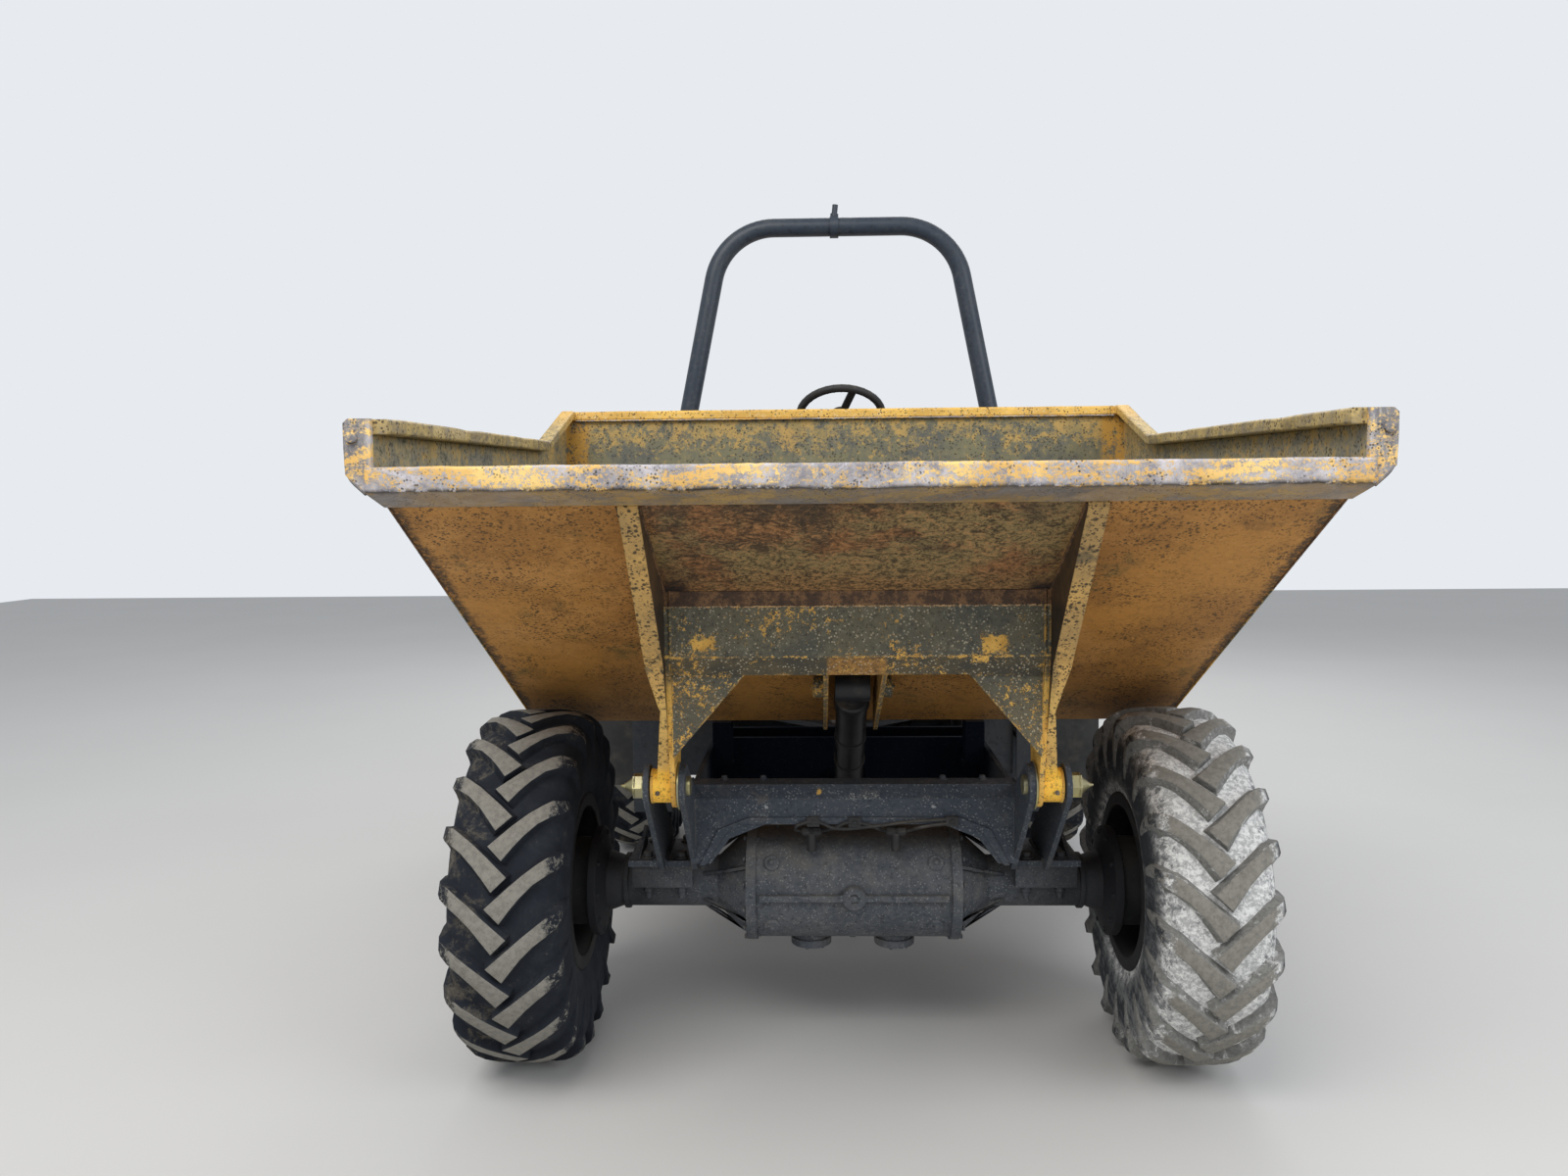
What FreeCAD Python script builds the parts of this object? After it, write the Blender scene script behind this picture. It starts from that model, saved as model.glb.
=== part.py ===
import FreeCAD, Part
import math
import os

Vec = FreeCAD.Vector
os.makedirs("parts", exist_ok=True)

# An articulated front-tipping site dumper, in millimetres.
# X is across, -Y is forward, +Z is up. The origin is on the ground under the middle of the machine.

# Overall lengths
front_overhang = 1000.0     # front axle to the face of the skip's lip
wheelbase = 2100.0
rear_overhang = 950.0       # rear axle to the end of the tow hitch
front_y = front_overhang - (front_overhang + wheelbase + rear_overhang) / 2
rear_y = front_y + wheelbase
tail_y = rear_y + rear_overhang


def bay(share):
    """Place between the articulation pivot (0) and the rear axle (1)."""
    return rear_y - (1 - share) * wheelbase / 2



# Wheels and tyres
tyre_diameter = 990.0
tyre_width = 320.0
lug_count = 21               # in each of the two rows
lug_height = 24.5
lug_half_angle = 3.8         # degrees
lug_sweep = 12.9             # degrees between a lug's ends
lug_phase = -90.0 + lug_half_angle
track = 1816.0
rim_seat_radius = 228.0
rim_width = 256.0
rim_flange_radius = 245.0
rim_flange_wall = 10.0
rim_wall = 12.0
disc_wall = 12.0
wheel_offset = 8.0          # tyre's middle plane to the inner face of the disc
hub_radius = 125.0
hub_depth = 152.0
cap_radius = 95.0
cap_depth = 48.0
spindle_radius = 40.0
spindle_grip = 100.0        # length of spindle inside the hub
axle_z = tyre_diameter / 2

# Running clearances
bore_gap = 0.5              # shaft in a turning bore
seat_gap = 0.3              # piece on its seat
side_gap = 2.0              # turning plates beside each other

# Axles
axle_tube_radius = 72.0
axle_bell_radius = 150.0
axle_bell_x = 300.0         # where the flared bells end
axle_flare_x = 384.0
axle_drum_radius = 157.0
axle_flange_radius = 165.0
axle_flange_wall = 14.0
brake_plate_radius = 150.0
brake_plate_wall = 25.0
axle_cup_x = 120.0
axle_cup_radius = 52.0
axle_cup_low_z = 313.0
pinion_radius = 62.0
pinion_reach = 300.0

# Chassis
side_plate_x = 435.0        # inner face of the chassis side plates
side_plate_wall = 15.0
outer_plate_x = 528.0       # inner face of the outer pivot plates
outer_plate_wall = 14.0
chassis_top_z = 800.0
foot_x0 = 445.0             # axle feet, across
foot_x1 = 632.0
foot_half_y = 110.0
foot_wall = 18.0
foot_low_z = axle_z + axle_tube_radius
frame_wall = 20.0           # crossmember plates
crossmember_low_z = 480.0
front_end_y = front_y + wheelbase / 2 - 305.0
beam_y = front_y - 178.0    # front face of the front beam
beam_top_z = 812.0
beam_chamfer_z = 779.0
beam_low_z = 708.0
beam_wall = 12.0
beam_top_depth = 70.0

# Skip pivot
pin_y = front_y - 360.0
pin_z = 860.0
pin_radius = 25.0
pin_plate_radius = 55.0     # round ends of the plates about the pin
ring_radius = 60.0
ring_wall = 5.0
boss_radius = 43.0
boss_x1 = 525.0
hinge_plate_wall = 13.0
arm_x1 = 515.0

# Skip
skip_half_width = 1000.0
skip_wall = 8.0
lip_y = front_y - front_overhang
lip_low_z = 1610.0
lip_top_z = 1660.0
lip_wall = 25.0
nose_top_y = front_y - 890.0
nose_top_z = 1596.0
nose_low_y = front_y + 360.0
nose_low_z = 895.0
heel_y = front_y + 500.0    # rear edge of the short floor
waist_y = front_y + 870.0   # bend in the rear wall
waist_z = 1620.0
rear_wall_y = front_y + 920.0
rim_front_z = 1762.0
rim_dip_y = front_y + 470.0
rim_dip_z = 1790.0
rim_rise_y = front_y + 850.0
rim_rear_z = 1915.0
rim_width_x = 44.0
rim_depth = 32.0
ear_width = 45.0
ear_wall = 14.0
nose_slope = (nose_top_z - nose_low_z) / (nose_low_y - nose_top_y)
rib_bend_y = front_y - 516.0
rib_bend_z = 1189.0
arm_waist_x = 486.0         # outer face of the arm where it is narrowest
arm_waist_z = 1069.0
arm_front = 30.0            # from the pin to the arm's front face, less than the boss
cross_face_y = front_y - 490.0
cross_bend_z = 1210.0
cross_low_z = 1160.0
cross_wall = 12.0
gusset_tip_x = 270.0
gusset_low_z = 950.0
bracket_x = 68.0            # inner faces of the tip ram's bracket on the skip
bracket_wall = 13.0

# Tip ram: base pin on the chassis and eye pin on the skip
ram_base_y = front_y + 500.0
ram_base_z = 620.0
ram_eye_y = front_y - 100.0
ram_eye_z = 1075.0
ram_barrel_radius = 45.0
ram_rod_radius = 24.0
ram_eye_radius = 42.0
ram_pin_radius = 20.0
ram_end_gap = 16.0          # gland to rod eye when closed
ram_bottom_wall = 30.0

# Articulation
pivot_y = (front_y + rear_y) / 2
pivot_z = 600.0
kingpin_radius = 35.0
joint_z = 370.0             # propeller shaft's ball, under the kingpin
gearbox_shaft_z = 392.0
gearbox_y = rear_y - 530.0   # front face of the transmission
yoke_top_z = 738.0
yoke_low_z = 462.0
yoke_wall = 20.0
yoke_nose_radius = 85.0
head_radius = 70.0
swivel_tube_radius = 90.0

# Steering ram: base pin on the rear chassis and eye pin on the front one
steer_base_x = 270.0
steer_base_y = rear_y - 380.0
steer_eye_x = 280.0
steer_eye_y = pivot_y - 235.0
steer_z = 600.0
steer_barrel_radius = 34.0
steer_rod_radius = 18.0
steer_eye_radius = 32.0
steer_pin_radius = 15.0
steer_fork_gap = 24.0       # half the gap between the fork's plates
steer_reserve = 235.0       # rod left out of the barrel with the machine straight
steer_inward = 156.0        # how far the steering rod can still slide in

# Rear unit
deck_top_z = 1000.0
deck_wall = 12.0
guard_x0 = 700.0             # inner edges of the mudguards
tank_out_x = guard_x0 - 40
step_in_x = tank_out_x + 10
step_width = 150.0
deck_half_width = step_in_x + step_width
deck_front_y = pivot_y + 70.0
deck_wide_y = rear_y - 560.0      # where the deck narrows ahead of the rear wheels
deck_back_y = rear_y - 370.0
deck_narrow_x = guard_x0 - 10
frame_front_y = deck_wide_y - 180.0
step_low_z = 380.0
step_wall = 10.0
tank_low_z = 520.0
rops_y = rear_y - 300.0
beam_box_depth = 90.0
beam_box_width = 120.0
guard_z = 1070.0
guard_wall = 8.0
hood_half_width = 440.0
hood_wall = 16.0
hood_front_y = rear_y - 102.0
hood_back_y = rear_y + 775.0
hood_low_z = 806.0
hood_top_z = 1400.0
hood_pivot_y = hood_front_y - 8
hood_pivot_z = hood_top_z - 12
chassis_end_y = tail_y - 160.0

# Roll-over hoop
rops_radius = 39.0
rops_foot_x = 704.0
rops_bend_z = 1700.0
rops_top_z = 2758.0
rops_top_x = 488.0          # where the leaning leg's line meets the top bar's line
rops_top_bend = 267.0
rops_low_bend = 320.0
spigot_x = -14.0
spigot_lean = 6.0           # degrees
spigot_radius = 12.0
spigot_collar = 16.0
spigot_length = 38.0
rops_plate = 160.0
rops_plate_wall = 20.0

# Operator's place
seat_half_width = 240.0
seat_front_y = bay(0.4)
seat_back_y = bay(0.8095)
seat_box_y = bay(0.4286)
seat_z = 1440.0
wheel_y = bay(0.219)
wheel_z = 1919.0
wheel_tilt = 36.0
wheel_radius = 160.0
spoke_angle = 47.0
column_length = 225.0
wheel_rim_radius = 15.0
dash_z = 1760.0
console_half_width = 190.0


def box(x0, x1, y0, y1, z0, z1):
    return Part.makeBox(x1 - x0, y1 - y0, z1 - z0, Vec(x0, y0, z0))


def rod(start, end, radius):
    start = Vec(*start)
    end = Vec(*end)
    return Part.makeCylinder(radius, (end - start).Length, start, end - start)


def prism(points, direction):
    face = Part.Face(Part.makePolygon(points + [points[0]]))
    return face.extrude(direction)


def plate_x(points, x0, x1):
    """Plate with a (y, z) outline, between two x planes."""
    return prism([Vec(x0, y, z) for y, z in points], Vec(x1 - x0, 0, 0))


def plate_y(points, y0, y1):
    """Plate with an (x, z) outline, between two y planes."""
    return prism([Vec(x, y0, z) for x, z in points], Vec(0, y1 - y0, 0))


def plate_z(points, z0, z1):
    """Plate with an (x, y) outline, between two z planes."""
    return prism([Vec(x, y, z0) for x, y in points], Vec(0, 0, z1 - z0))


def spun(profile, centre, direction):
    """Solid of revolution from (distance along the axis, radius) pairs; direction is +X or -X."""
    points = [centre + direction * a + Vec(0, 0, r) for a, r in profile]
    face = Part.Face(Part.makePolygon(points + [points[0]]))
    solid = face.revolve(centre, direction, 360)
    return solid


def mirrored(shape):
    return shape.mirror(Vec(0, 0, 0), Vec(1, 0, 0))


def pair(shape):
    return [shape, mirrored(shape)]


def fuse(shapes):
    first = shapes[0]
    if len(shapes) > 1:
        first = first.multiFuse(shapes[1:])
    return first.removeSplitter()


def save(node, shapes):
    """Write one node; its shapes are separate solids."""
    solids = []
    for shape in shapes:
        solids.extend(shape.Solids)
    for solid in solids:
        if not solid.isValid() or solid.Volume <= 0:
            print("bad solid in", node)
    shape = solids[0] if len(solids) == 1 else Part.makeCompound(solids)
    shape.exportStep("parts/" + node + ".step")


def nose_z(y):
    """Height of the nose plate's outer face."""
    return nose_low_z + nose_slope * (nose_low_y - y)


# Wheels


def tread_point(x, y, across, radius, degrees):
    """Point on a wheel's tread; 0 degrees faces forward and the angle climbs over the top."""
    angle = math.radians(degrees)
    return Vec(x + across, y - radius * math.cos(angle), axle_z + radius * math.sin(angle))


def facets(points):
    """One flat face where the points allow it, or else a fan of triangles from the first."""
    plane = Part.Plane(points[0], points[1], points[2])
    if all(plane.toShape().distToShape(Part.Vertex(point))[0] < 1e-4 for point in points[3:]):
        return [Part.Face(Part.makePolygon(points + [points[0]]))]
    return [Part.Face(Part.makePolygon([points[0], b, c, points[0]])) for b, c in zip(points[1:], points[2:])]


def tyre(x, y):
    """Flat-faced carcass with two rows of lugs; the rows are half a pitch apart."""
    pitch = 360 / lug_count
    half = tyre_width / 2
    radius = tyre_diameter / 2
    bead = rim_width / 2 - seat_gap
    # (base across, base radius, top across, top radius, middle's angle, half the width in degrees)
    rows = [
        (0, radius - lug_height, 0, radius, 0.0, lug_half_angle),
        (half - 20, radius - lug_height - 12, half - 9, radius - 14, lug_sweep, lug_half_angle * 0.75),
        (half, radius - 100, half, radius - 100, lug_sweep * 1.2, lug_half_angle * 0.55),
    ]
    widest = pitch / 2 - rows[2][5]     # half of the widest facet of the bore, in degrees
    bore = (rim_seat_radius + seat_gap) / math.cos(math.radians(widest))
    # (across, radius) down the sidewall to the bead
    wall = [(half - 6, radius - 190), (bead, rim_flange_radius + 4), (bead, bore)]
    faces = []
    bores = []
    for hand in (1, -1):
        shift = lug_phase + (pitch / 2 if hand < 0 else 0)
        rings = []
        for i in range(lug_count):
            start = shift + pitch * i
            low = []
            top = []
            for base_x, base_r, top_x, top_r, middle, width in rows:
                low.append([tread_point(x, y, hand * base_x, base_r, start + middle + k * width) for k in (-1, 1)])
                top.append([tread_point(x, y, hand * top_x, top_r, start + middle + k * width) for k in (-1, 1)])
            other = [tread_point(x, y, 0, rows[0][1], start + pitch / 2 + k * rows[0][5]) for k in (-1, 1)]
            following = [tread_point(x, y, hand * base_x, base_r, start + pitch + middle - width)
                         for base_x, base_r, top_x, top_r, middle, width in rows]
            faces.extend(facets([top[0][0], top[0][1], top[1][1], top[1][0]]))
            faces.extend(facets([top[1][0], top[1][1], low[2][1], low[2][0]]))
            faces.extend(facets([low[0][0], low[0][1], top[0][1], top[0][0]]))
            for k in (0, 1):
                faces.extend(facets([low[0][k], low[1][k], top[1][k], top[0][k]]))
                faces.extend(facets([low[1][k], low[2][k], top[1][k]]))
            faces.extend(facets([low[1][1], low[0][1], other[0], other[1], following[0], following[1]]))
            faces.extend(facets([low[1][1], following[1], following[2], low[2][1]]))
            angles = [start + rows[2][4] + k * rows[2][5] for k in (-1, 1)]
            rings.extend(angles)
        for i, angle in enumerate(rings):
            after = rings[i + 1] if i + 1 < len(rings) else rings[0] + 360
            above = (half, radius - 100)
            for below in wall:
                faces.extend(facets([tread_point(x, y, hand * above[0], above[1], angle),
                                     tread_point(x, y, hand * above[0], above[1], after),
                                     tread_point(x, y, hand * below[0], below[1], after),
                                     tread_point(x, y, hand * below[0], below[1], angle)]))
                above = below
        bores.append([tread_point(x, y, hand * bead, bore, angle) for angle in rings])
    left, right = bores
    count = len(left)
    for i in range(count):
        j = (i + 1) % count
        faces.append(Part.Face(Part.makePolygon([left[i], left[j], right[i], left[i]])))
        faces.append(Part.Face(Part.makePolygon([left[j], right[j], right[i], left[j]])))
    shell = Part.makeShell(faces)
    shell.sewShape()
    return Part.makeSolid(shell)


def rim(x, y, side):
    """Rim, disc and hub as one solid, with a blind bore for the spindle."""
    half = rim_width / 2
    edge = half + rim_flange_wall
    inner = rim_seat_radius - rim_wall
    hub_in = -wheel_offset - hub_depth
    disc_out = disc_wall - wheel_offset
    bore_end = hub_in + spindle_grip + side_gap
    profile = [
        (disc_out + cap_depth, 0),
        (bore_end, 0),
        (bore_end, spindle_radius + bore_gap),
        (hub_in, spindle_radius + bore_gap),
        (hub_in, hub_radius),
        (-wheel_offset, hub_radius),
        (-wheel_offset, inner),
        (-edge, inner),
        (-edge, rim_flange_radius),
        (-half, rim_flange_radius),
        (-half, rim_seat_radius),
        (half, rim_seat_radius),
        (half, rim_flange_radius),
        (edge, rim_flange_radius),
        (edge, inner),
        (disc_out, inner),
        (disc_out, cap_radius),
        (disc_out + cap_depth - 12, cap_radius - 5),
        (disc_out + cap_depth, cap_radius - 25),
    ]
    return spun(profile, Vec(x, y, axle_z), Vec(side, 0, 0))


def axle(y, nose):
    """Axle beam with bells, centre drum, spindles and saddles; nose is the pinion's side, 1 or -1."""
    plate_out = track / 2 - wheel_offset - hub_depth - side_gap
    spindle_end = plate_out + spindle_grip
    drum_end = axle_bell_x - 2 * axle_flange_wall
    rows = [
        (spindle_end, 0),
        (spindle_end, spindle_radius),
        (plate_out, spindle_radius),
        (plate_out, brake_plate_radius),
        (plate_out - brake_plate_wall, brake_plate_radius),
        (plate_out - brake_plate_wall - 20, axle_tube_radius + 14),
        (plate_out - brake_plate_wall - 60, axle_tube_radius),
        (axle_flare_x, axle_tube_radius),
        (axle_bell_x, axle_bell_radius),
        (axle_bell_x, axle_flange_radius),
        (drum_end, axle_flange_radius),
        (drum_end, axle_drum_radius),
    ]
    profile = rows + [(-a, r) for a, r in reversed(rows)]
    beam = spun(profile, Vec(0, y, axle_z), Vec(1, 0, 0))
    pieces = [beam]
    pieces.append(rod((0, y, axle_z), (0, y + nose * 215, axle_z), 130))
    pieces.append(rod((0, y, axle_z - 40), (0, y + nose * pinion_reach, axle_z - 40), pinion_radius))
    cup = rod((axle_cup_x, y, axle_cup_low_z), (axle_cup_x, y, axle_z - 40), axle_cup_radius)
    pieces.extend(pair(cup))
    saddle = box(foot_x0 + 8, foot_x1 - 8, y - foot_half_y + 8, y + foot_half_y - 8,
                 axle_z + 10, foot_low_z)
    pieces.extend(pair(saddle))
    return fuse(pieces)


# Front chassis


def pivot_plate(x0, x1, outline):
    """Side plate with a round end and a hole at the skip's pin."""
    plate = plate_x(outline, x0, x1)
    end = rod((x0, pin_y, pin_z), (x1, pin_y, pin_z), pin_plate_radius)
    hole = rod((x0 - 1, pin_y, pin_z), (x1 + 1, pin_y, pin_z), pin_radius + seat_gap)
    return fuse([plate, end]).cut(hole)


def front_chassis():
    foot_top = foot_low_z + foot_wall
    slant = pin_plate_radius * math.sqrt(0.5)
    inner_outline = [
        (pin_y - slant, pin_z - slant),
        (pin_y + slant, pin_z + slant),
        (front_y - 190, chassis_top_z + 20),
        (front_y - 60, chassis_top_z),
        (front_end_y, chassis_top_z),
        (front_end_y, crossmember_low_z),
        (front_y + 260, 560),
        (front_y + foot_half_y, foot_low_z),
        (front_y - foot_half_y - 20, foot_low_z),
    ]
    outer_outline = [
        (pin_y - slant, pin_z - slant),
        (pin_y + slant, pin_z + slant),
        (front_y + foot_half_y - 20, foot_top + 40),
        (front_y + foot_half_y - 20, foot_low_z),
        (front_y - foot_half_y - 20, foot_low_z),
    ]
    inner_x1 = side_plate_x + side_plate_wall
    pieces = []
    inner = pivot_plate(side_plate_x, inner_x1, inner_outline)
    ring = rod((inner_x1, pin_y, pin_z), (inner_x1 + ring_wall, pin_y, pin_z), ring_radius)
    ring = ring.cut(rod((inner_x1 - 1, pin_y, pin_z), (inner_x1 + ring_wall + 1, pin_y, pin_z),
                        pin_radius + seat_gap))
    outer = pivot_plate(outer_plate_x, outer_plate_x + outer_plate_wall, outer_outline)
    foot = box(foot_x0, foot_x1, front_y - foot_half_y, front_y + foot_half_y, foot_low_z, foot_top)
    for piece in (inner, ring, outer, foot):
        pieces.extend(pair(piece))
    face = [
        (beam_y, beam_low_z - 110),
        (beam_y, beam_chamfer_z),
        (beam_y + 28, beam_top_z),
        (beam_y + 28 + beam_top_depth, beam_top_z),
        (beam_y + 28 + beam_top_depth, beam_top_z - beam_wall),
        (beam_y + 34, beam_top_z - beam_wall),
        (beam_y + beam_wall, beam_chamfer_z - 5),
        (beam_y + beam_wall, beam_low_z - 110),
    ]
    beam = plate_x(face, -inner_x1 + 2, inner_x1 - 2)
    arch = [
        (-400, beam_low_z - 120),
        (-340, beam_low_z - 40),
        (-240, beam_low_z),
        (240, beam_low_z),
        (340, beam_low_z - 40),
        (400, beam_low_z - 120),
    ]
    beam = beam.cut(plate_y(arch, beam_y - 5, beam_y + 20))
    pieces.append(beam)
    end_plate = box(-side_plate_x - 1, side_plate_x + 1, front_end_y - frame_wall, front_end_y,
                    crossmember_low_z, chassis_top_z)
    pieces.append(end_plate)
    ram_beam_y = ram_base_y + 50
    ram_beam = box(-side_plate_x - 1, side_plate_x + 1, ram_beam_y, ram_beam_y + frame_wall,
                   530, chassis_top_z)
    pieces.append(ram_beam)
    lug = plate_x([(ram_base_y - 30, ram_base_z - 45), (ram_base_y - 30, ram_base_z + 45),
                   (ram_beam_y + 1, ram_base_z + 80), (ram_beam_y + 1, ram_base_z - 80)], 50, 64)
    lug_end = rod((50, ram_base_y, ram_base_z), (64, ram_base_y, ram_base_z), 54)
    lug = fuse([lug, lug_end])
    pieces.extend(pair(lug))
    pieces.append(rod((-76, ram_base_y, ram_base_z), (76, ram_base_y, ram_base_z), ram_pin_radius))
    tube = rod((0, ram_beam_y + 1, pivot_z), (0, pivot_y - 160, pivot_z), swivel_tube_radius)
    pieces.append(tube)
    fork_y = steer_eye_y + 15
    for z0 in (steer_z - steer_fork_gap - 14, steer_z + steer_fork_gap):
        tongue = box(steer_eye_x - 38, steer_eye_x + 38, front_end_y - 1, steer_eye_y, z0, z0 + 14)
        tip = rod((steer_eye_x, steer_eye_y, z0), (steer_eye_x, steer_eye_y, z0 + 14), 38)
        pieces.append(fuse([tongue, tip]))
    post = box(side_plate_x - 60, side_plate_x + 1, front_y + 400, front_y + 480,
               chassis_top_z - 60, nose_low_z - 16)
    pieces.extend(pair(post))
    return fuse(pieces + [pivot_head()])


def pivot_head():
    """Swivel flange and the block that the kingpin turns in."""
    flange = rod((0, pivot_y - 160, pivot_z), (0, pivot_y - 136, pivot_z), 118)
    low = yoke_low_z + yoke_wall / 2
    high = yoke_top_z - yoke_wall / 2
    neck = box(-58, 58, pivot_y - 137, pivot_y, pivot_z - 95, pivot_z + 95)
    barrel = rod((0, pivot_y, low), (0, pivot_y, high), head_radius)
    hole = rod((0, pivot_y, low - 1), (0, pivot_y, high + 1), kingpin_radius + bore_gap)
    return fuse([flange, neck, barrel]).cut(hole)


def skip_pins():
    """Pins with washer, nut and pointed grease cap, outside the outer plates."""
    x0 = side_plate_x - 10
    x1 = outer_plate_x + outer_plate_wall
    shaft = rod((x0, pin_y, pin_z), (x1 + 4, pin_y, pin_z), pin_radius)
    washer = rod((x1 + seat_gap, pin_y, pin_z), (x1 + 5, pin_y, pin_z), 38)
    hexagon = [(pin_y + 33 * math.cos(math.radians(a)), pin_z + 33 * math.sin(math.radians(a)))
               for a in range(0, 360, 60)]
    nut = plate_x(hexagon, x1 + 4, x1 + 30)
    cap = Part.makeCone(24, 7, 22, Vec(x1 + 30, pin_y, pin_z), Vec(1, 0, 0))
    return fuse([shaft, washer, nut, cap])


def rest_pad():
    return box(side_plate_x - 58, side_plate_x - 2, front_y + 402, front_y + 478,
               nose_low_z - 16, nose_low_z - seat_gap)


# Skip


def skip_outline(inset):
    """Outer (inset 0) or inner side outline of the hopper, front open above the lip."""
    turn = math.hypot(1, nose_slope)
    lift = inset * turn
    front = lip_y + lip_wall
    if inset == 0:
        points = [(front, rim_front_z), (front, lip_low_z)]
    else:
        points = [(front - 100, rim_front_z + 400), (front - 100, lip_top_z), (front + inset, lip_top_z)]
        points.append((front + inset, nose_z(front + inset) + lift))
    if inset == 0:
        points.append((nose_top_y, nose_top_z))
    floor = nose_low_z + inset
    points.append((nose_low_y + inset * 0.3, floor))
    points.append((heel_y - inset * 0.6, floor))
    points.append((waist_y - inset, waist_z))
    points.append((rear_wall_y - inset, rim_rear_z if inset == 0 else rim_rear_z + 200))
    if inset == 0:
        points.append((rim_rise_y, rim_rear_z))
        points.append((rim_dip_y, rim_dip_z))
    return points


def rim_cap(x0, x1):
    """Length of side capping that follows the top edge."""
    top = [(lip_y + lip_wall, rim_front_z), (rim_dip_y, rim_dip_z), (rim_rise_y, rim_rear_z),
           (rear_wall_y, rim_rear_z)]
    low = [(y, z - rim_depth) for y, z in reversed(top)]
    low[1] = (rim_rise_y + 12, rim_rear_z - rim_depth)
    low[2] = (rim_dip_y + 8, rim_dip_z - rim_depth)
    return plate_x(top + low, x0, x1)


def skip_rim():
    inner = skip_half_width - rim_width_x
    sides = pair(rim_cap(inner, skip_half_width + 2))
    back = box(-inner - 1, inner + 1, rear_wall_y - rim_width_x, rear_wall_y,
               rim_rear_z - rim_depth, rim_rear_z)
    return fuse(sides + [back])


def skip_shell(rim_solid):
    outer = plate_x(skip_outline(0), -skip_half_width, skip_half_width)
    inner_x = skip_half_width - skip_wall
    inner = plate_x(skip_outline(skip_wall), -inner_x, inner_x)
    return outer.cut(inner).cut(rim_solid)


def skip_lip():
    """Folded lip along the front edge, with its corner ears."""
    front = lip_y
    back = lip_y + lip_wall
    bar = plate_x([(front, lip_top_z + 4), (front, lip_low_z), (nose_top_y - 4, nose_top_z - 14),
                   (nose_top_y, nose_top_z), (back, lip_low_z), (back, lip_top_z + 4)],
                  -skip_half_width, skip_half_width)
    ear = [
        (skip_half_width - 12, lip_low_z),
        (skip_half_width, lip_low_z),
        (skip_half_width + ear_width, lip_low_z + 38),
        (skip_half_width + ear_width, rim_front_z),
        (skip_half_width - 12, rim_front_z),
    ]
    ears = pair(plate_y(ear, back - ear_wall, back))
    return fuse([bar] + ears)


def skip_rib():
    """Rib under the nose that runs down as the pivot arm to its boss."""
    x0 = side_plate_x + side_plate_wall + ring_wall + side_gap + hinge_plate_wall
    top_y = front_y - 868
    outline = [
        (top_y, nose_z(top_y)),
        (top_y + 4, nose_z(top_y) - 16),
        (rib_bend_y, rib_bend_z),
        (pin_y - arm_front, pin_z),
        (pin_y + boss_radius, pin_z),
        (front_y - 300, nose_z(front_y - 300)),
    ]
    beside_arm = plate_y([(arm_x1 + 1, rib_bend_z), (arm_waist_x, arm_waist_z), (arm_x1 - 6, pin_z - 1),
                          (arm_x1 + 1, pin_z - 1)], rib_bend_y - 50, front_y)
    arm = plate_x(outline, x0, arm_x1).cut(beside_arm)
    boss = rod((x0, pin_y, pin_z), (boss_x1, pin_y, pin_z), boss_radius)
    hole = rod((x0 - 1, pin_y, pin_z), (boss_x1 + 1, pin_y, pin_z), pin_radius + bore_gap)
    return fuse([arm, boss]).cut(hole)


def skip_hinge_frame():
    """Crossmember, end plates and gussets between the two arms."""
    x1 = side_plate_x + side_plate_wall + ring_wall + side_gap + hinge_plate_wall
    x0 = x1 - hinge_plate_wall
    plate = plate_x([
        (cross_face_y, nose_z(cross_face_y)),
        (cross_face_y, cross_bend_z),
        (pin_y - pin_plate_radius, pin_z),
        (pin_y + pin_plate_radius, pin_z),
        (front_y - 250, nose_z(front_y - 250)),
    ], x0, x1)
    end = rod((x0, pin_y, pin_z), (x1, pin_y, pin_z), pin_plate_radius)
    hole = rod((x0 - 1, pin_y, pin_z), (x1 + 1, pin_y, pin_z), pin_radius + bore_gap)
    plate = fuse([plate, end]).cut(hole)
    fold_y = cross_face_y + 32
    cross = plate_x([
        (cross_face_y, nose_z(cross_face_y)),
        (cross_face_y, cross_bend_z),
        (fold_y, cross_low_z),
        (fold_y + cross_wall, cross_low_z + 4),
        (cross_face_y + cross_wall, cross_bend_z + 4),
        (cross_face_y + cross_wall, nose_z(cross_face_y + cross_wall)),
    ], -x0 - 1, x0 + 1)
    gusset = plate_y([(x0 + 1, cross_low_z + 8), (gusset_tip_x, cross_low_z + 8),
                      (x0 + 1, gusset_low_z)], fold_y + 1, fold_y + 13)
    return fuse([cross] + pair(plate) + pair(gusset) + pair(ram_bracket()))


def ram_bracket():
    """Skip-side plate for the tip ram, with the pin's head; its inner face is flush."""
    x1 = bracket_x + bracket_wall
    y0 = cross_face_y + cross_wall
    outline = [
        (y0, nose_z(y0)),
        (front_y + 160, nose_z(front_y + 160)),
        (front_y + 150, 905),
        (y0 + 30, cross_low_z + 20),
        (y0, cross_bend_z + 20),
    ]
    plate = plate_x(outline, bracket_x, x1)
    head = rod((x1 - 1, ram_eye_y, ram_eye_z), (x1 + 26, ram_eye_y, ram_eye_z), 30)
    return fuse([plate, head])


# Rams


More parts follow.
